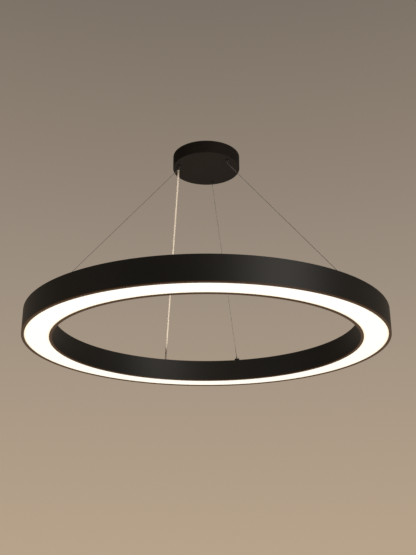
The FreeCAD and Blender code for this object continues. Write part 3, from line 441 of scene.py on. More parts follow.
@dataclass(frozen=True)
class OpalGlow:
    """Opal acrylic, lit from behind: white in the middle of its width, with painted shade by the
    rims that makes it warmer and darker.
    """

    name: str
    middle: float
    half_width: float
    heart: Colour = (0.49, 0.465, 0.44)
    # Painted shade: the warm and amber glows and the darker sheet by the rims stand in for the
    # ledges' shade on the opal.
    warm: Colour = (0.48, 0.41, 0.3)
    painted_shade_amber: Colour = (0.2, 0.08, 0.02)
    sheet: Colour = (0.2, 0.196, 0.185)
    sheet_painted_shade: Colour = (0.18, 0.165, 0.135)
    roughness: float = 0.34
    # The spans are shares of the way from the middle of the opal's width to a rim.
    warm_span: Span = (0.8, 0.97)
    warm_share: float = 0.8
    amber_span: Span = (0.955, 1.0)
    drift_cells: float = 3.0
    drift_share: float = 0.05
    haze_cells: float = 40.0
    haze_dulls: float = 0.05
    wave_cells: float = 25.0
    wave_depth: float = 0.00005

    def make(self) -> Material:
        """Build the material.

        Returns:
            The finished material.
        """
        shader = Shader(self.name)
        off_middle = shader.maths("ABSOLUTE", shader.reach() - self.middle) / self.half_width
        # Painted shade: toward the rims the glow and the sheet turn warmer and darker, for the
        # ledges' shade.
        painted_shade_near_rim = off_middle.ramp(*self.warm_span)
        painted_shade_at_rim = off_middle.ramp(*self.amber_span)
        drift = shader.noise(self.drift_cells, detail=2.0) * self.drift_share
        glow = shader.mix(painted_shade_near_rim * self.warm_share + drift, self.heart, self.warm)
        return shader.surface(
            Base_Color=shader.mix(painted_shade_near_rim, self.sheet, self.sheet_painted_shade),
            Roughness=self.roughness + shader.noise(self.haze_cells, detail=2.0) * self.haze_dulls,
            Emission_Color=shader.mix(painted_shade_at_rim, glow, self.painted_shade_amber),
            Emission_Strength=1.0,
            Normal=shader.bump(shader.noise(self.wave_cells, detail=1.0), self.wave_depth),
        )


@dataclass(frozen=True)
class ClearJacket:
    """Clear flexible jacket with a slight warm cast and a soft gloss."""

    name: str
    shade: Colour = (0.31, 0.275, 0.23)
    deeper: Colour = (0.28, 0.247, 0.205)
    alpha: float = 0.45
    roughness: float = 0.34
    gloss: float = 0.3
    wave_depth: float = 0.00004
    wave_cells: float = 140.0
    wave_share: float = 0.4
    wave_dulls: float = 0.1

    def make(self) -> Material:
        """Build the material.

        Returns:
            The finished material.
        """
        shader = Shader(self.name)
        waves = shader.noise(self.wave_cells, detail=2.0)
        return shader.surface(
            Base_Color=shader.mix(waves * self.wave_share, self.shade, self.deeper),
            Roughness=self.roughness + waves * self.wave_dulls,
            Specular_IOR_Level=self.gloss,
            Alpha=self.alpha,
            Normal=shader.bump(waves, self.wave_depth),
        )


@dataclass(frozen=True)
class LightBoard:
    """White solder resist with fine tracks that show as slight steps."""

    name: str
    resist: Colour = (0.86, 0.86, 0.83)
    over_track: Colour = (0.74, 0.76, 0.7)
    track_turns: float = 900.0
    track_depth: float = 0.00004
    track_span: Span = (0.55, 0.75)
    track_share: float = 0.5
    roughness: float = 0.35
    speck_cells: float = 400.0
    speck_dulls: float = 0.12

    def make(self) -> Material:
        """Build the material.

        Returns:
            The finished material.
        """
        shader = Shader(self.name)
        waves = shader.maths("SINE", shader.reach() * self.track_turns)
        tracks = waves.ramp(*self.track_span)
        specks = shader.noise(self.speck_cells, detail=2.0)
        return shader.surface(
            Base_Color=shader.mix(tracks * self.track_share, self.resist, self.over_track),
            Roughness=self.roughness + specks * self.speck_dulls,
            Normal=shader.bump(tracks, self.track_depth),
        )


@dataclass(frozen=True)
class Phosphor:
    """Light chips: yellow phosphor that glows under the opal."""

    name: str
    shade: Colour = (0.95, 0.78, 0.24)
    pale: Colour = (0.98, 0.86, 0.4)
    glow: float = 1.5
    roughness: float = 0.4
    clump_cells: float = 2500.0
    clump_dulls: float = 0.1

    def make(self) -> Material:
        """Build the material.

        Returns:
            The finished material.
        """
        shader = Shader(self.name)
        clumps = shader.noise(self.clump_cells, detail=2.0)
        colour = shader.mix(clumps, self.shade, self.pale)
        return shader.surface(
            Base_Color=colour,
            Roughness=self.roughness + clumps * self.clump_dulls,
            Emission_Color=colour,
            Emission_Strength=self.glow,
        )


@dataclass(frozen=True)
class StudioFloor:
    """Plain pale floor with the faintest unevenness, lifted by the light of the room."""

    name: str = "studio_floor"
    shade: Colour = (0.7, 0.65, 0.58)
    pale: Colour = (0.74, 0.69, 0.62)
    lift: float = 0.34
    lift_shade: Colour = (1.0, 0.88, 0.74)
    lift_pale: Colour = (1.0, 0.9, 0.77)
    roughness: float = 0.8
    cloud_cells: float = 0.6
    cloud_dulls: float = 0.1

    def make(self) -> Material:
        """Build the material.

        Returns:
            The finished material.
        """
        shader = Shader(self.name)
        clouds = shader.noise(self.cloud_cells, detail=3.0)
        return shader.surface(
            Base_Color=shader.mix(clouds, self.shade, self.pale),
            Roughness=self.roughness + clouds * self.cloud_dulls,
            Emission_Color=shader.mix(clouds, self.lift_shade, self.lift_pale),
            Emission_Strength=self.lift,
        )


class Finishes:
    """Every finish of the lamp, made once."""

    def __init__(self) -> None:
        """Build all materials."""
        # The ring coat carries the painted glow of the opal's light on its rims.
        self.ring_coat = PowderCoat(
            "ring_powder_coat", from_screen(8, 8, 7), from_screen(13, 12, 10), painted_spill=0.035
        ).make()
        self.canopy_coat = PowderCoat(
            "canopy_powder_coat", from_screen(15, 13, 11), from_screen(18, 15, 13),
            roughness=0.6, gloss=0.02,
        ).make()
        self.black_plating = PlatedMetal(
            "black_plating", (0.006, 0.0057, 0.005), (0.011, 0.01, 0.009), 0.42,
            metallic=0.1, gloss=0.1,
        ).make()
        self.nickel = PlatedMetal(
            "nickel_plating", (0.66, 0.63, 0.57), (0.52, 0.48, 0.42), 0.22
        ).make()
        self.zinc = PlatedMetal(
            "zinc_plating", (0.62, 0.63, 0.64), (0.5, 0.51, 0.5), 0.36,
            brushed=(300.0, 25.0, 300.0),
        ).make()
        self.white_sheet = Moulded(
            "white_lacquer", (0.82, 0.82, 0.8), (0.77, 0.77, 0.74), 0.4, grain=0.001
        ).make()
        self.spring = PlatedMetal("spring_steel", (0.4, 0.4, 0.41), (0.3, 0.29, 0.28)).make()
        self.rope = PlatedMetal(
            "wire_rope", (0.085, 0.08, 0.073), (0.055, 0.052, 0.047), 0.5,
            metallic=0.6, gloss=0.3,
        ).make()
        self.nylon = Moulded(
            "black_nylon", (0.005, 0.0047, 0.004), (0.009, 0.008, 0.007), 0.48, gloss=0.1
        ).make()
        self.block = Moulded("pale_polyamide", (0.7, 0.69, 0.64), (0.62, 0.61, 0.56)).make()
        self.white_nylon = Moulded("white_nylon", (0.83, 0.82, 0.78), (0.76, 0.75, 0.7)).make()
        self.lead = Moulded("lead_sleeving", (0.78, 0.76, 0.7), (0.7, 0.68, 0.62), 0.42).make()
        self.driver_board = Moulded(
            "driver_board", (0.03, 0.12, 0.05), (0.05, 0.16, 0.07), 0.35, grain=0.0008
        ).make()
        self.jacket = ClearJacket("clear_jacket").make()
        self.core = Moulded(
            "cable_core", (0.36, 0.322, 0.27), (0.33, 0.292, 0.243), 0.6
        ).make()
        self.board = LightBoard("light_board").make()
        self.phosphor = Phosphor("phosphor").make()


# ---------- objects


def add_object(name: str, data: ID) -> Object:
    """Make an object and put it in the scene.

    Args:
        name: Its name.
        data: Its mesh, curve, light or camera.

    Returns:
        The object.
    """
    made = bpy.data.objects.new(name, data)
    bpy.context.scene.collection.objects.link(made)
    return made


def new_piece(name: str, mesh: Mesh, material: Material) -> Object:
    """Put a mesh in the scene as a piece.

    Args:
        name: The piece's name.
        mesh: Its mesh, already in place.
        material: Its finish.

    Returns:
        The piece.
    """
    mesh.name = name
    mesh.materials.clear()
    mesh.materials.append(material)
    return add_object(name, mesh)


def dress(
    name: str, mesh: Mesh, material: Material, body: Body,
    stands_for: Optional[str] = None,
) -> Object:
    """Make a piece that rides on a body, and report it.

    Args:
        name: The piece's name.
        mesh: Its mesh, already in place.
        material: Its finish.
        body: The body that it rides on.
        stands_for: The plain part that it replaces, if any.

    Returns:
        The piece.
    """
    piece = new_piece(name, mesh, material)
    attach(piece, body.value)
    if stands_for:
        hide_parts(stands_for)
    log.info("%s: %d faces", name, len(mesh.polygons))
    return piece


def smooth(mesh: Mesh, sharp_angle: float = SHARP_ANGLE) -> None:
    """Shade a mesh smooth, but for edges sharper than an angle in degrees."""
    mesh.polygons.foreach_set("use_smooth", [True] * len(mesh.polygons))
    mesh.set_sharp_from_angle(angle=math.radians(sharp_angle))


def baked(holder: Object) -> Mesh:
    """Take the mesh that an object's modifiers make, and remove the modifiers.

    Args:
        holder: The object.

    Returns:
        The mesh, shaded smooth.
    """
    bpy.context.view_layer.update()
    evaluated = holder.evaluated_get(bpy.context.evaluated_depsgraph_get())
    mesh = bpy.data.meshes.new_from_object(evaluated)
    holder.modifiers.clear()
    smooth(mesh)
    return mesh


def from_bmesh(shape: BMesh, sharp_angle: float = SHARP_ANGLE) -> Mesh:
    """Turn a bmesh into a mesh, its faces outwards and its shading set.

    Args:
        shape: The bmesh, which is freed.
        sharp_angle: Edges sharper than this, in degrees, stay sharp.

    Returns:
        The mesh.
    """
    bmesh.ops.recalc_face_normals(shape, faces=shape.faces)
    mesh = bpy.data.meshes.new("shape")
    shape.to_mesh(mesh)
    shape.free()
    smooth(mesh, sharp_angle)
    return mesh


def joined(meshes: Iterable[Mesh]) -> Mesh:
    """Join several meshes to one.

    Args:
        meshes: The meshes.

    Returns:
        The whole.
    """
    shape = bmesh.new()
    for mesh in meshes:
        shape.from_mesh(mesh)
    whole = bpy.data.meshes.new("joined")
    shape.to_mesh(whole)
    shape.free()
    smooth(whole)
    return whole


# ---------- shapes


class Line:
    """The smooth line that a cord follows, read from its spline."""

    def __init__(self, name: str, route: Sequence[Point], smoothness: int = 64) -> None:
        """Draw the spline through its control points and read its points.

        Args:
            name: A name for the curve.
            route: The control points.
            smoothness: Steps in each stretch of the spline.
        """
        self.route = route
        curve = bpy.data.curves.new(f"{name}_line", "CURVE")
        curve.dimensions = "3D"
        curve.resolution_u = smoothness
        spline = curve.splines.new("NURBS")
        spline.points.add(len(route) - 1)
        for point, place in zip(spline.points, route):
            point.co = (*place, 1.0)
        spline.order_u = 3
        spline.use_endpoint_u = True
        holder = add_object(curve.name, curve)
        bpy.context.view_layer.update()
        read = bpy.data.meshes.new_from_object(holder)
        self.points = [vertex.co.copy() for vertex in read.vertices]
        bpy.data.objects.remove(holder)
        bpy.data.meshes.remove(read)
        bpy.data.curves.remove(curve)
        self.reached = [0.0]
        for before, after in zip(self.points, self.points[1:]):
            self.reached.append(self.reached[-1] + (after - before).length)

    @property
    def length(self) -> float:
        """The line's whole length."""
        return self.reached[-1]

    def at(self, distance: float) -> Vector:
        """Find a point along the line.

        Args:
            distance: How far along it is.

        Returns:
            The point.
        """
        index = min(max(bisect_right(self.reached, distance) - 1, 0), len(self.points) - 2)
        step = self.reached[index + 1] - self.reached[index]
        share = (distance - self.reached[index]) / step if step else 0.0
        return self.points[index].lerp(self.points[index + 1], share)

    def frames(self, pitch: float) -> list[tuple[Vector, Vector, Vector, float]]:
        """Places along the line, each with two directions square to it.

        Args:
            pitch: The distance from one place to the next.

        Returns:
            Point, side, other side and distance, for each place.
        """
        count = max(2, round(self.length / pitch))
        places = [self.at(self.length * step / count) for step in range(count + 1)]
        side = Vector((0.0, 1.0, 0.0))
        made = []
        for index, place in enumerate(places):
            ahead = places[min(index + 1, count)] - places[max(index - 1, 0)]
            ahead.normalize()
            side = (side - ahead * side.dot(ahead)).normalized()
            made.append((place, side.copy(), ahead.cross(side), self.length * index / count))
        return made


def swept(
    outlines: Iterable[Sequence[Vector]], sharp_angle: float = SHARP_ANGLE
) -> Mesh:
    """Join outlines that follow each other to a closed mesh.

    Args:
        outlines: The outlines, with as many corners each.
        sharp_angle: Edges sharper than this, in degrees, stay sharp.

    Returns:
        The mesh.
    """
    shape = bmesh.new()
    rings = [[shape.verts.new(corner) for corner in outline] for outline in outlines]
    for first, second in zip(rings, rings[1:]):
        for corner in range(len(first)):
            after = (corner + 1) % len(first)
            shape.faces.new((first[corner], first[after], second[after], second[corner]))
    shape.faces.new(list(reversed(rings[0])))
    shape.faces.new(rings[-1])
    return from_bmesh(shape, sharp_angle)


def tube(
    line: Line, radius: float, sides: int, pitch: float, lobes: int = 0, lobe_depth: float = 0.0,
    lay: float = 1.0, offset: float = 0.0, start_turn: float = 0.0,
) -> Mesh:
    """Sweep a round or lobed outline along a line.

    Args:
        line: The line.
        radius: The outline's largest radius.
        sides: Corners in the outline.
        pitch: Distance between outlines.
        lobes: Strands that stand out of the outline.
        lobe_depth: How deep the grooves between the strands are.
        lay: The length in which the strands turn once.
        offset: How far the outline's middle stands off the line, turning with the lay.
        start_turn: The turn at the line's start, in radians.

    Returns:
        The closed mesh.
    """
    outlines = []
    for place, side, other, distance in line.frames(pitch):
        twist = start_turn + (distance / lay * math.tau if lobes or offset else 0.0)
        middle = place + (side * math.cos(twist) + other * math.sin(twist)) * offset
        outline = []
        for corner in range(sides):
            angle = math.tau * corner / sides
            dip = (1.0 - math.cos(angle * lobes)) / 2 * lobe_depth
            spoke = side * math.cos(angle + twist) + other * math.sin(angle + twist)
            outline.append(middle + spoke * (radius - dip))
        outlines.append(outline)
    return swept(outlines)


def rounded(
    corners: Profile, radii: Union[float, Sequence[float]], steps: int = 3,
    hold: float = 0.0008, long_side: int = 3,
) -> Profile:
    """Round the corners of a closed outline.

    Args:
        corners: The outline's corners, as radius and height.
        radii: One radius for all corners, or one for each.
        steps: Short edges in each rounding.
        hold: How far beside a rounding a further point keeps a long flat side's shading flat.
        long_side: A side has these points if it is so many times longer than they stand off.

    Returns:
        The outline with its roundings.
    """
    count = len(corners)
    every = [radii] * count if isinstance(radii, float) else list(radii)
    made: list[tuple[float, float]] = []
    for index, (corner, radius) in enumerate(zip(corners, every)):
        here = Vector(corner)
        back = Vector(corners[index - 1]) - here
        ahead = Vector(corners[(index + 1) % count]) - here
        room_back, room_ahead = back.length, ahead.length
        back.normalize()
        ahead.normalize()
        if radius <= 0.0 or abs(back.cross(ahead)) < TINY:
            made.append(tuple(here))
            continue
        beside = radius + hold
        if room_back > beside * long_side:
            made.append(tuple(here + back * beside))
        for step in range(steps + 1):
            share = step / steps
            made.append(tuple(here + back * radius * (1 - share) ** 2 + ahead * radius * share**2))
        if room_ahead > beside * long_side:
            made.append(tuple(here + ahead * beside))
    return made


def lathe(outline: Profile, steps: int) -> Mesh:
    """Turn a closed outline round the lamp's axis.

    Args:
        outline: Corners as radius and height; those on the axis become one point each.
        steps: Steps round the axis.

    Returns:
        The closed mesh.
    """
    shape = bmesh.new()
    rings = []
    for radius, level in outline:
        azimuths = [360.0 * step / steps for step in range(steps if radius > TINY else 1)]
        rings.append([shape.verts.new(around(radius, azimuth, level)) for azimuth in azimuths])
    for first, second in zip(rings, rings[1:] + rings[:1]):
        if len(first) == 1 and len(second) == 1:
            continue
        for step in range(steps):
            after = (step + 1) % steps
            corners = [first[step % len(first)], first[after % len(first)],
                       second[after % len(second)], second[step % len(second)]]
            shape.faces.new(list(dict.fromkeys(corners)))
    return from_bmesh(shape)


def carved(mesh: Mesh, cutter: Mesh) -> Mesh:
    """Cut a closed mesh out of another.

    Args:
        mesh: The mesh to cut.
        cutter: What is cut out; its pieces may cross each other.

    Returns:
        What is left.
    """
    body, tool = add_object("body", mesh), add_object("tool", cutter)
    cut = body.modifiers.new("cut", "BOOLEAN")
    cut.object = tool
    cut.operation = "DIFFERENCE"
    cut.solver = "EXACT"
    cut.use_self = True
    left = baked(body)
    for item in (body, tool):
        bpy.data.objects.remove(item)
    return left


def add_box(shape: BMesh, size: Point, level: float = 0.0) -> None:
    """Add a box to a bmesh, its middle on the axis at a height."""
    place = Matrix.Translation((0.0, 0.0, level)) @ Matrix.Diagonal((*size, 1.0))
    bmesh.ops.create_cube(shape, size=1.0, matrix=place)


def cross_recess(reach: float, half: float, depth: float, top: float) -> Mesh:
    """Make the cutter for a cross recess.

    Args:
        reach: Half its length.
        half: Half its width.
        depth: Its depth.
        top: The height of the head's top.

    Returns:
        The cutter.
    """
    shape = bmesh.new()
    add_box(shape, (reach * 2, half * 2, depth * 2), top)
    add_box(shape, (half * 2, reach * 2, depth * 2), top)
    return from_bmesh(shape)


@dataclass(frozen=True)
class Bore:
    """A round hole through a wall."""

    middle: Vector
    along: Vector
    radius: float
    length: float


def bore_pins(bores: Iterable[Bore], sides: int = 32) -> Mesh:
    """Make the cutter for round holes, one pin for each.

    Args:
        bores: The holes.
        sides: Sides of a pin.

    Returns:
        The cutter.
    """
    shape = bmesh.new()
    for bore in bores:
        heading = bore.along.to_track_quat("Z", "Y").to_matrix().to_4x4()
        bmesh.ops.create_cone(
            shape, cap_ends=True, segments=sides, radius1=bore.radius, radius2=bore.radius,
            depth=bore.length, matrix=Matrix.Translation(bore.middle) @ heading,
        )
    return from_bmesh(shape)


@dataclass
class RingOfCopies:
    """A node tree that sets copies of a piece round the lamp's axis."""

    count: int
    reach: float
    level: float = 0.0
    turn: float = 0.0
    loose: float = 0.0
    seed: int = 7

    def _sizes(self) -> dict[str, Union[int, float]]:
        """The tree's inputs besides the piece."""
        return {"Count": self.count, "Reach": self.reach, "Level": self.level,
                "Turn": math.radians(self.turn), "Loose": self.loose, "Seed": self.seed}

    def _tree(self, material: Material) -> NodeTree:
        """Build the tree, with an input for each of its sizes.

        Args:
            material: The copies' finish.

        Returns:
            The tree.
        """
        tree = bpy.data.node_groups.new("ring_of_copies", "GeometryNodeTree")
        kinds = {"Geometry": "Geometry"}
        for name, size in self._sizes().items():
            kinds[name] = "Int" if isinstance(size, int) else "Float"
        for name, kind in kinds.items():
            tree.interface.new_socket(name, in_out="INPUT", socket_type=f"NodeSocket{kind}")
        tree.interface.new_socket("Geometry", in_out="OUTPUT", socket_type="NodeSocketGeometry")
        graph = Graph(tree)
        given = {name: graph.node("NodeGroupInput", output=name) for name in kinds}
        step = graph.maths("DIVIDE", math.tau, given["Count"])
        angle = graph.node("GeometryNodeInputIndex") * step + given["Turn"]
        place = graph.node("ShaderNodeCombineXYZ", inputs={
            "X": graph.maths("COSINE", angle) * given["Reach"],
            "Y": graph.maths("SINE", angle) * given["Reach"],
            "Z": given["Level"],
        })
        points = graph.node(
            "GeometryNodePoints", inputs={"Count": given["Count"], "Position": place}
        )
        # Sockets 2 and 3 are the float's least and most, and output 1 is the float.
        chance = graph.node(
            "FunctionNodeRandomValue", {"data_type": "FLOAT"},
            {2: -1.0, 3: 1.0, "Seed": given["Seed"]}, output=1,
        )
        heading = graph.node(
            "ShaderNodeCombineXYZ", inputs={"Z": angle + chance * given["Loose"]}
        )
        copies = graph.node("GeometryNodeInstanceOnPoints", inputs={
            "Points": points, "Instance": given["Geometry"], "Rotation": heading,
        })
        whole = graph.node("GeometryNodeRealizeInstances", inputs={0: copies})
        dressed = graph.node(
            "GeometryNodeSetMaterial", inputs={"Geometry": whole, "Material": material}
        )
        graph.node("NodeGroupOutput", inputs={0: dressed})
        return tree

    def make(self, single: Mesh, material: Material) -> Mesh:
        """Make one mesh that holds all the copies.

        Args:
            single: The piece at the origin, its outward side along +X.
            material: Its finish.

        Returns:
            The copies as one plain mesh.
        """
        holder = add_object("copies", single)
        tree = self._tree(material)
        modifier = holder.modifiers.new("copies", "NODES")
        modifier.node_group = tree
        sizes = self._sizes()
        for item in tree.interface.items_tree:
            if item.in_out == "INPUT" and item.name in sizes:
                modifier[item.identifier] = sizes[item.name]
        mesh = baked(holder)
        bpy.data.objects.remove(holder)
        bpy.data.node_groups.remove(tree)
        return mesh


# ---------- studio


@dataclass(frozen=True)
class SoftLight:
    """A soft square light that faces a point."""

    name: str
    place: Point
    target: Point
    size: float
    power: float
    colour: Colour = (1.0, 0.94, 0.86)

    def make(self) -> None:
        """Add it to the scene."""
        data = bpy.data.lights.new(self.name, "AREA")
        data.size = self.size
        data.energy = self.power
        data.color = self.colour
        heading = Vector(self.target) - Vector(self.place)
        turn = heading.to_track_quat("-Z", "Y").to_matrix().to_4x4()
        add_object(self.name, data).matrix_world = Matrix.Translation(self.place) @ turn


@dataclass
class Studio:
    """The camera, the light and the floor."""

    camera_place: Point = (-0.00566, -2.0464, -1.1713)
    camera_pitch: float = 0.365
    camera_yaw: float = 0.005
    camera_roll: float = -0.002
    lens: float = 49.745
    sensor: float = 36.0
    floor_level: float = -4.2
    floor_radius: float = 14.0
    floor_sides: int = 96
    # The surrounding light: how steeply a place lies above the horizon, and its colour.
    backdrop: tuple[tuple[float, Colour], ...] = (
        (0.0, from_screen(185, 164, 140)),
        (0.35, from_screen(157, 143, 128)),
        (0.66, from_screen(124, 113, 102)),
    )
    lights: tuple[SoftLight, ...] = (
        SoftLight("key", (2.7, -3.2, 0.7), (0.0, 0.0, -0.5), 2.6, 190.0),
        SoftLight("fill", (-3.2, -2.0, -1.6), (0.0, 0.0, -0.5), 2.4, 40.0),
        SoftLight("top", (0.6, 0.8, 2.8), (0.0, 0.0, -0.4), 2.6, 90.0),
        SoftLight("bounce", (0.0, -0.4, -3.4), (0.0, 0.0, 0.0), 2.0, 290.0),
    )

    def make_camera(self) -> None:
        """Set up the camera at the lamp's viewing angle."""
        data = bpy.data.cameras.new("camera")
        data.lens = self.lens
        data.sensor_width = self.sensor
        camera = add_object("camera", data)
        ahead = Vector((
            math.sin(self.camera_yaw) * math.cos(self.camera_pitch),
            math.cos(self.camera_yaw) * math.cos(self.camera_pitch),
            math.sin(self.camera_pitch),
        ))
        right = ahead.cross(UPWARDS).normalized()
        right = Matrix.Rotation(-self.camera_roll, 3, ahead) @ right
        turn = Matrix((right, right.cross(ahead), -ahead)).transposed()
        camera.matrix_world = Matrix.Translation(self.camera_place) @ turn.to_4x4()
        bpy.context.scene.camera = camera

    def make_light(self) -> None:
        """Set up the surrounding light and the soft lights."""
        bpy.context.scene.view_settings.view_transform = "Standard"
        world = bpy.data.worlds.new("studio")
        bpy.context.scene.world = world
        world.use_nodes = True
        graph = Graph(world.node_tree)
        height = graph.axis(graph.node("ShaderNodeTexCoord", output="Generated"), "Z")
        shades = graph.node("ShaderNodeValToRGB", {"stops": self.backdrop}, {0: height})
        glow = graph.node("ShaderNodeBackground", inputs={"Color": shades})
        graph.node("ShaderNodeOutputWorld", inputs={"Surface": glow})
        for light in self.lights:
            light.make()

    def make_floor(self) -> None:
        """Lay the pale floor far below the lamp."""
        shape = bmesh.new()
        bmesh.ops.create_circle(
            shape, cap_ends=True, segments=self.floor_sides, radius=self.floor_radius
        )
        bmesh.ops.translate(shape, verts=shape.verts, vec=(0.0, 0.0, self.floor_level))
        new_piece("floor", from_bmesh(shape), StudioFloor().make())


# ---------- cords


def hang(piece: Object, line: Line,
         with_pieces: Sequence[Object] = ()) -> None:
    """Give a cord and the pieces in it their own meshes, and log the cord's length.

    Args:
        piece: The cord.
        line: The line that it follows, from its upper end.
        with_pieces: The pieces in it.
    """
    for item in (piece, *with_pieces):
        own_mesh(item)
    log.info("%s: %.4f m", piece.name, line.length)


@dataclass
class Suspension:
    """The three stranded steel wires between the grippers and the ring."""

    finishes: Finishes
    diameter: float = 0.0015
    length: float = 0.5899
    pitch: float = 0.0009
    strands: int = 6
    groove: float = 0.0001
    lay: float = 0.0095
    # Each wire's control points, as distance from the axis and height.
    route: Profile = (
        (GRIP_REACH, -0.047),
        (GRIP_REACH, -0.050825),
        (0.086414, -0.053792),
        (0.454005, -0.505631),
    )

    def build(self) -> None:
        """Make the wires and hang them."""
        for name, azimuth in GRIP_AZIMUTHS.items():
            node = f"suspension_wire_{name}"
            route = [(*around(reach, azimuth, level)[:2], level) for reach, level in self.route]
            line = Line(node, route)
            mesh = tube(line, self.diameter / 2, self.strands * 2, self.pitch, self.strands,
                        self.groove, self.lay)
            piece = dress(f"{node}_strands", mesh, self.finishes.rope, Body.CANOPY,
                          node)
            hang(piece, line)


@dataclass
class PowerCable:
    """The clear cable with its three cores, taut between the two glands."""

    finishes: Finishes
    diameter: float = 0.006
    length: float = 0.6549
    pitch: float = 0.003
    sides: int = 24
    cores: int = 3
    core: float = 0.0021
    core_sides: int = 10
    core_offset: float = 0.00125
    core_lay: float = 0.2
    route: Sequence[Point] = (
        (-0.08354, -0.00878, -0.049),
        (-0.08354, -0.00878, -0.064),
        (-0.084758, 0.001942, -0.074419),
        (-0.133273, 0.429178, -0.489581),
        (-0.134491, 0.4399, -0.5),
        (-0.134491, 0.4399, -0.515),
    )

    def build(self) -> None:
        """Make the jacket and the cores."""
        line = Line("power_cable", self.route)
        cores = joined(
            tube(line, self.core / 2, self.core_sides, self.pitch, lay=self.core_lay,
                 offset=self.core_offset, start_turn=math.tau * index / self.cores)
            for index in range(self.cores)
        )
        core_piece = dress("power_cable_cores", cores, self.finishes.core, Body.CANOPY)
        sleeve = tube(line, self.diameter / 2, self.sides, self.pitch)
        jacket = dress("power_cable_jacket", sleeve, self.finishes.jacket, Body.CANOPY,
                       "power_cable")
        hang(jacket, line, [core_piece])


# ---------- the ring


@dataclass
class RingHousing:
    """The two walls, the cover and the opal light ring."""

    finishes: Finishes
    outside: float = 0.5
    inside: float = 0.42
    top: float = -0.524
    under: float = -0.59
    wall: float = 0.002
    rim_width: float = 0.0075
    rim_thick: float = 0.002
    ledge: float = 0.006
    ledge_under: float = -0.5515
    flange: float = 0.010
    flange_under: float = -0.528
    sheet: float = 0.002
    cover_play: float = 0.0003
    opal_thick: float = 0.003
    opal_play: float = 0.0005
    opal_round: float = 0.0003
    edge_round: float = 0.0005
    rim_round: float = 0.0003
    steps: int = 360
    screw_rows: tuple[float, float] = (0.493, 0.427)
    screw_count: int = 12
    screw_turn: float = GRIP_AZIMUTHS["far"]
    screw_hole: float = 0.0017

    @property
    def middle(self) -> float:
        """The radius half way between the walls."""
        return (self.inside + self.outside) / 2

    def _wall_outline(self, face: float, side: float) -> Profile:
        """The outline of the wall whose visible face has a radius.

        Args:
            face: The radius.
            side: The way from the face into the channel, +1 or -1.

        Returns:
            The outline.
        """
        wall = face + self.wall * side
        rim = face + self.rim_width * side
        ledge = wall + self.ledge * side
        flange = wall + self.flange * side
        ledge_top = self.ledge_under + self.sheet
        flange_top = self.flange_under + self.sheet
        shelf = self.under + self.rim_thick
        corners = [
            (face, self.under), (rim, self.under), (rim, shelf), (wall, shelf),
            (wall, self.ledge_under), (ledge, self.ledge_under), (ledge, ledge_top),
            (wall, ledge_top), (wall, self.flange_under), (flange, self.flange_under),
            (flange, flange_top), (wall, flange_top), (wall, self.top), (face, self.top),
        ]
        radii = [0.0] * len(corners)
        radii[0] = radii[-1] = self.edge_round
        radii[1] = radii[2] = radii[-2] = self.rim_round
        return rounded(corners, radii)

    def _sheet(self, play: float, low: float, high: float, edge: float) -> Mesh:
        """Make a flat ring that lies between the walls.

        Args:
            play: Its gap to each wall.
            low: The height of its underside.
            high: The height of its top.
            edge: The rounding of its edges.

        Returns:
            The closed mesh.
        """
        near = self.inside + self.wall + play
        far = self.outside - self.wall - play
        outline = [(near, low), (far, low), (far, high), (near, high)]
        return lathe(rounded(outline, edge), self.steps)

    def _cover_bores(self) -> list[Bore]:
        """Place the cover's holes for its screws, the wires' forks and the cable's gland.

        Returns:
            The holes.
        """
        step = 360.0 / self.screw_count
        places = [(reach, self.screw_turn + step * index, self.screw_hole)
                  for reach in self.screw_rows for index in range(self.screw_count)]
        places += [(self.middle, azimuth, STUD_HOLE) for azimuth in GRIP_AZIMUTHS.values()]
        places.append((self.middle, RING_GLAND_AZIMUTH, GLAND_HOLE))
        level, through = self.top - self.sheet / 2, self.sheet * 3
        return [Bore(around(reach, azimuth, level), UPWARDS, radius, through)
                for reach, azimuth, radius in places]

    def build(self) -> None:
        """Make the walls, the cover and the opal ring."""
        shelf = self.under + self.rim_thick
        cover = self._sheet(self.cover_play, self.top - self.sheet, self.top, self.edge_round)
        opal = self._sheet(self.opal_play, shelf, shelf + self.opal_thick, self.opal_round)
        glow = OpalGlow("opal_glow", self.middle, self.middle - self.inside - self.rim_width)
        coat = self.finishes.ring_coat
        for name, mesh, material, slot in (
            ("outer_band", lathe(self._wall_outline(self.outside, -1.0), self.steps), coat,
             "ring_coat"),
            ("inner_band", lathe(self._wall_outline(self.inside, 1.0), self.steps), coat,
             "ring_coat"),
            ("top_cover", carved(cover, bore_pins(self._cover_bores())), coat, "ring_coat"),
            ("diffuser", opal, glow.make(), "opal"),
        ):
            dress(f"{name}_skin", mesh, material, Body.RING, name)


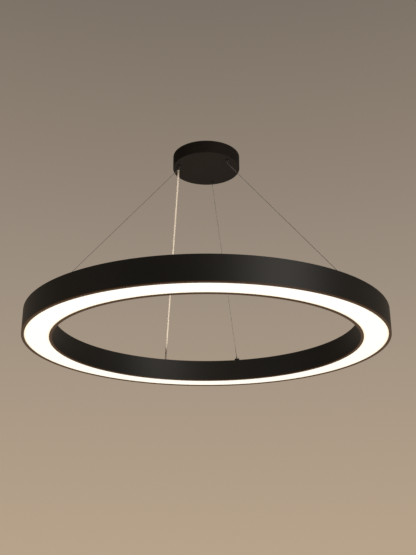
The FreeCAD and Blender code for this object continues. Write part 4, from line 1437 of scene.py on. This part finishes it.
@dataclass
class CoverScrews:
    """The screws along both edges of the ring's cover."""

    finishes: Finishes
    housing: RingHousing
    head_radius: float = 0.0028
    head_high: float = 0.0018
    # The head's outline, and its cross's length, width and depth, as shares of these two.
    head_shares: Profile = (
        (1.0, 0.0), (1.0, 0.45), (0.9, 0.78), (0.6, 0.96), (0.42, 1.0), (0.0, 1.0)
    )
    cross_shares: Point = (0.55, 0.16, 0.5)
    shank_radius: float = 0.0015
    shank_end: float = -0.009
    tip_share: float = 0.7
    tip_high: float = 0.0006
    sides: int = 16
    # How far a screw may be turned either way, in radians, and the first row's seed.
    loose: float = 3.1
    first_seed: int = 3

    def _screw(self) -> Mesh:
        """Make one pan-headed screw with a cross recess.

        Returns:
            Its mesh, the seat of the head at height 0.
        """
        head, high = self.head_radius, self.head_high
        outline = [
            (0.0, self.shank_end), (self.shank_radius * self.tip_share, self.shank_end),
            (self.shank_radius, self.shank_end + self.tip_high), (self.shank_radius, 0.0),
            *((head * across, high * up) for across, up in self.head_shares),
        ]
        reach, half, depth = self.cross_shares
        recess = cross_recess(head * reach, head * half, high * depth, high)
        return carved(lathe(outline, self.sides), recess)

    def build(self) -> None:
        """Set the screws in both rows."""
        housing = self.housing
        screws = joined(
            RingOfCopies(housing.screw_count, reach, housing.top, housing.screw_turn,
                         self.loose, seed).make(self._screw(), self.finishes.ring_coat)
            for seed, reach in enumerate(housing.screw_rows, start=self.first_seed)
        )
        dress("cover_screw_heads", screws, self.finishes.black_plating, Body.RING,
              "cover_screws")


# ---------- the canopy


@dataclass
class Canopy:
    """The round cup at the ceiling."""

    finishes: Finishes
    radius: float = 0.1
    high: float = 0.04
    wall: float = 0.0015
    under_round: float = 0.0016
    rim_round: float = 0.0003
    inner_round: float = 0.0008
    round_steps: int = 5
    steps: int = 192
    side_hole: float = 0.0022
    side_level: float = -0.009
    side_turn: float = 60.0

    def _bores(self) -> list[Bore]:
        """Place the cup's holes for the grippers, the cable's gland and the side screws.

        Returns:
            The holes.
        """
        floor = -self.high + self.wall / 2
        through = self.wall * 4
        places = [(azimuth, STUD_HOLE) for azimuth in GRIP_AZIMUTHS.values()]
        places.append((CANOPY_GLAND_AZIMUTH, GLAND_HOLE))
        bores = [Bore(around(GRIP_REACH, azimuth, floor), UPWARDS, radius, through)
                 for azimuth, radius in places]
        for azimuth in GRIP_AZIMUTHS.values():
            side = azimuth + self.side_turn
            middle = around(self.radius - self.wall / 2, side, self.side_level)
            bores.append(Bore(middle, around(1.0, side, 0.0), self.side_hole, through))
        return bores

    def build(self) -> None:
        """Make the cup."""
        inner = self.radius - self.wall
        floor = -self.high + self.wall
        outline = [
            (0.0, -self.high), (self.radius, -self.high), (self.radius, 0.0), (inner, 0.0),
            (inner, floor), (0.0, floor),
        ]
        radii = [0.0, self.under_round, self.rim_round, self.rim_round, self.inner_round, 0.0]
        cup = lathe(rounded(outline, radii, self.round_steps), self.steps)
        dress("canopy_cup_skin", carved(cup, bore_pins(self._bores())),
              self.finishes.canopy_coat, Body.CANOPY, "canopy_cup")


@dataclass(frozen=True)
class Ribs:
    """The grip ribs round one kind of collar."""

    radius: float
    count: int
    width: float
    depth: float
    slot: str


@dataclass
class GripRibs:
    """The ribs moulded round the cable's glands and knurled round the wire grippers."""

    finishes: Finishes
    gland: Ribs = Ribs(0.0065, 14, 0.0014, 0.0005, "gland_black")
    grip: Ribs = Ribs(0.005, 36, 0.0005, 0.0003, "gripper_black")
    canopy_level: float = -0.0415
    ring_reach: float = 0.46
    ring_level: float = -0.5225
    high: float = 0.0022
    bevel_share: float = 0.3

    def _set(
        self, name: str, body: Body, middle: Vector, ribs: Ribs, material: Material
    ) -> None:
        """Set ribs round one collar.

        Args:
            name: The piece's name.
            body: The body that it rides on.
            middle: The collar's middle.
            ribs: The ribs.
            material: Their finish.
        """
        rib = bmesh.new()
        add_box(rib, (ribs.depth, ribs.width, self.high))
        bmesh.ops.bevel(rib, geom=rib.edges[:], offset=ribs.depth * self.bevel_share,
                        segments=1, affect="EDGES")
        mesh = RingOfCopies(ribs.count, ribs.radius).make(from_bmesh(rib), material)
        mesh.transform(Matrix.Translation(middle))
        dress(name, mesh, material, body)

    def build(self) -> None:
        """Make the ribs of every collar."""
        nylon, plating = self.finishes.nylon, self.finishes.black_plating
        under_canopy = around(GRIP_REACH, CANOPY_GLAND_AZIMUTH, self.canopy_level)
        on_ring = around(self.ring_reach, RING_GLAND_AZIMUTH, self.ring_level)
        self._set("canopy_gland_ribs", Body.CANOPY, under_canopy, self.gland, nylon)
        self._set("ring_gland_ribs", Body.RING, on_ring, self.gland, nylon)
        for name, azimuth in GRIP_AZIMUTHS.items():
            middle = around(GRIP_REACH, azimuth, self.canopy_level)
            self._set(f"gripper_knurl_{name}", Body.CANOPY, middle, self.grip, plating)


@dataclass
class GripSprings:
    """The coil spring over each release sleeve, made at one fixed length."""

    finishes: Finishes
    outer_radius: float = 0.0026
    wire: float = 0.0005
    low: float = -0.0325
    high: float = -0.024
    turns: int = 5
    travel: float = 0.002
    steps_per_turn: int = 32
    sides: int = 8
    sharp_angle: float = 60.0

    def _coil(self, azimuth: float) -> Mesh:
        """Make one coil round the upright axis of a gripper.

        Args:
            azimuth: Where the gripper stands, in degrees.

        Returns:
            The closed mesh.
        """
        middle = around(GRIP_REACH, azimuth, 0.0)
        radius = self.outer_radius - self.wire / 2
        low, high = self.low + self.wire / 2, self.high - self.wire / 2
        steps = self.turns * self.steps_per_turn
        angles = [math.tau * side / self.sides for side in range(self.sides)]
        outlines = []
        for step in range(steps + 1):
            spoke = around(1.0, azimuth + 360.0 * step / self.steps_per_turn, 0.0)
            place = middle + spoke * radius + UPWARDS * (low + (high - low) * step / steps)
            outlines.append([
                place + (spoke * math.cos(angle) + UPWARDS * math.sin(angle)) * (self.wire / 2)
                for angle in angles
            ])
        return swept(outlines, self.sharp_angle)

    def build(self) -> None:
        """Make the three springs."""
        for name, azimuth in GRIP_AZIMUTHS.items():
            node = f"gripper_spring_{name}"
            piece = dress(f"{node}_coil", self._coil(azimuth), self.finishes.spring,
                          Body.CANOPY, node)
            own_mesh(piece)


# ---------- plain parts that stay


@dataclass
class Wardrobe:
    """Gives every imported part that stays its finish."""

    finishes: Finishes
    led_boards: int = 6

    def _rows(self) -> list[tuple[Material, list[str]]]:
        """List the parts of each finish.

        Returns:
            Each finish with the names of its parts; a star stands for far, left and right in turn.
        """
        finishes = self.finishes
        return [
            (finishes.canopy_coat, ["canopy_side_screws"]),
            (finishes.black_plating, ["anchor_forks", "gripper_body_*", "release_sleeve_*",
                                      "anchor_barrel_*", "wire_ferrule_*"]),
            (finishes.nickel, ["gripper_caps", "canopy_lock_nuts", "earth_screw",
                               "mains_terminal_screws", "gripper_balls_*"]),
            (finishes.zinc, ["ceiling_plate", "anchor_bridges", "ring_lock_nuts",
                             "driver_cases", "driver_lids", "tray_screws"]),
            (finishes.white_sheet, ["gear_tray"]),
            (finishes.rope, ["wire_tails"]),
            (finishes.nylon, ["canopy_cable_gland", "ring_cable_gland"]),
            (finishes.block, ["mains_terminal_block", "ring_terminal_block"]),
            (finishes.white_nylon, ["board_connectors"]),
            (finishes.lead, ["board_leads", "ring_leads", "driver_output_leads",
                             "canopy_cable_end", "ring_cable_end"]),
            (finishes.driver_board, ["driver_boards"]),
            (finishes.board, [f"led_board_{index + 1}" for index in range(self.led_boards)]),
            (finishes.phosphor, ["led_chips"]),
        ]

    def dress(self) -> None:
        """Put each finish on its parts."""
        for material, stems in self._rows():
            names = [name for stem in stems
                     for name in dict.fromkeys(stem.replace("*", grip) for grip in GRIP_AZIMUTHS)]
            for name in names:
                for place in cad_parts[name].material_slots:
                    place.material = material
            log.info("%s: %d parts", material.name, len(names))


def main() -> None:
    """Build the studio and the lamp's pieces in order."""
    studio = Studio()
    studio.make_camera()
    finishes = Finishes()
    Suspension(finishes).build()
    PowerCable(finishes).build()
    studio.make_light()
    studio.make_floor()
    housing = RingHousing(finishes)
    housing.build()
    CoverScrews(finishes, housing).build()
    Canopy(finishes).build()
    GripRibs(finishes).build()
    GripSprings(finishes).build()
    Wardrobe(finishes).dress()


if __name__ == "__main__":
    main()
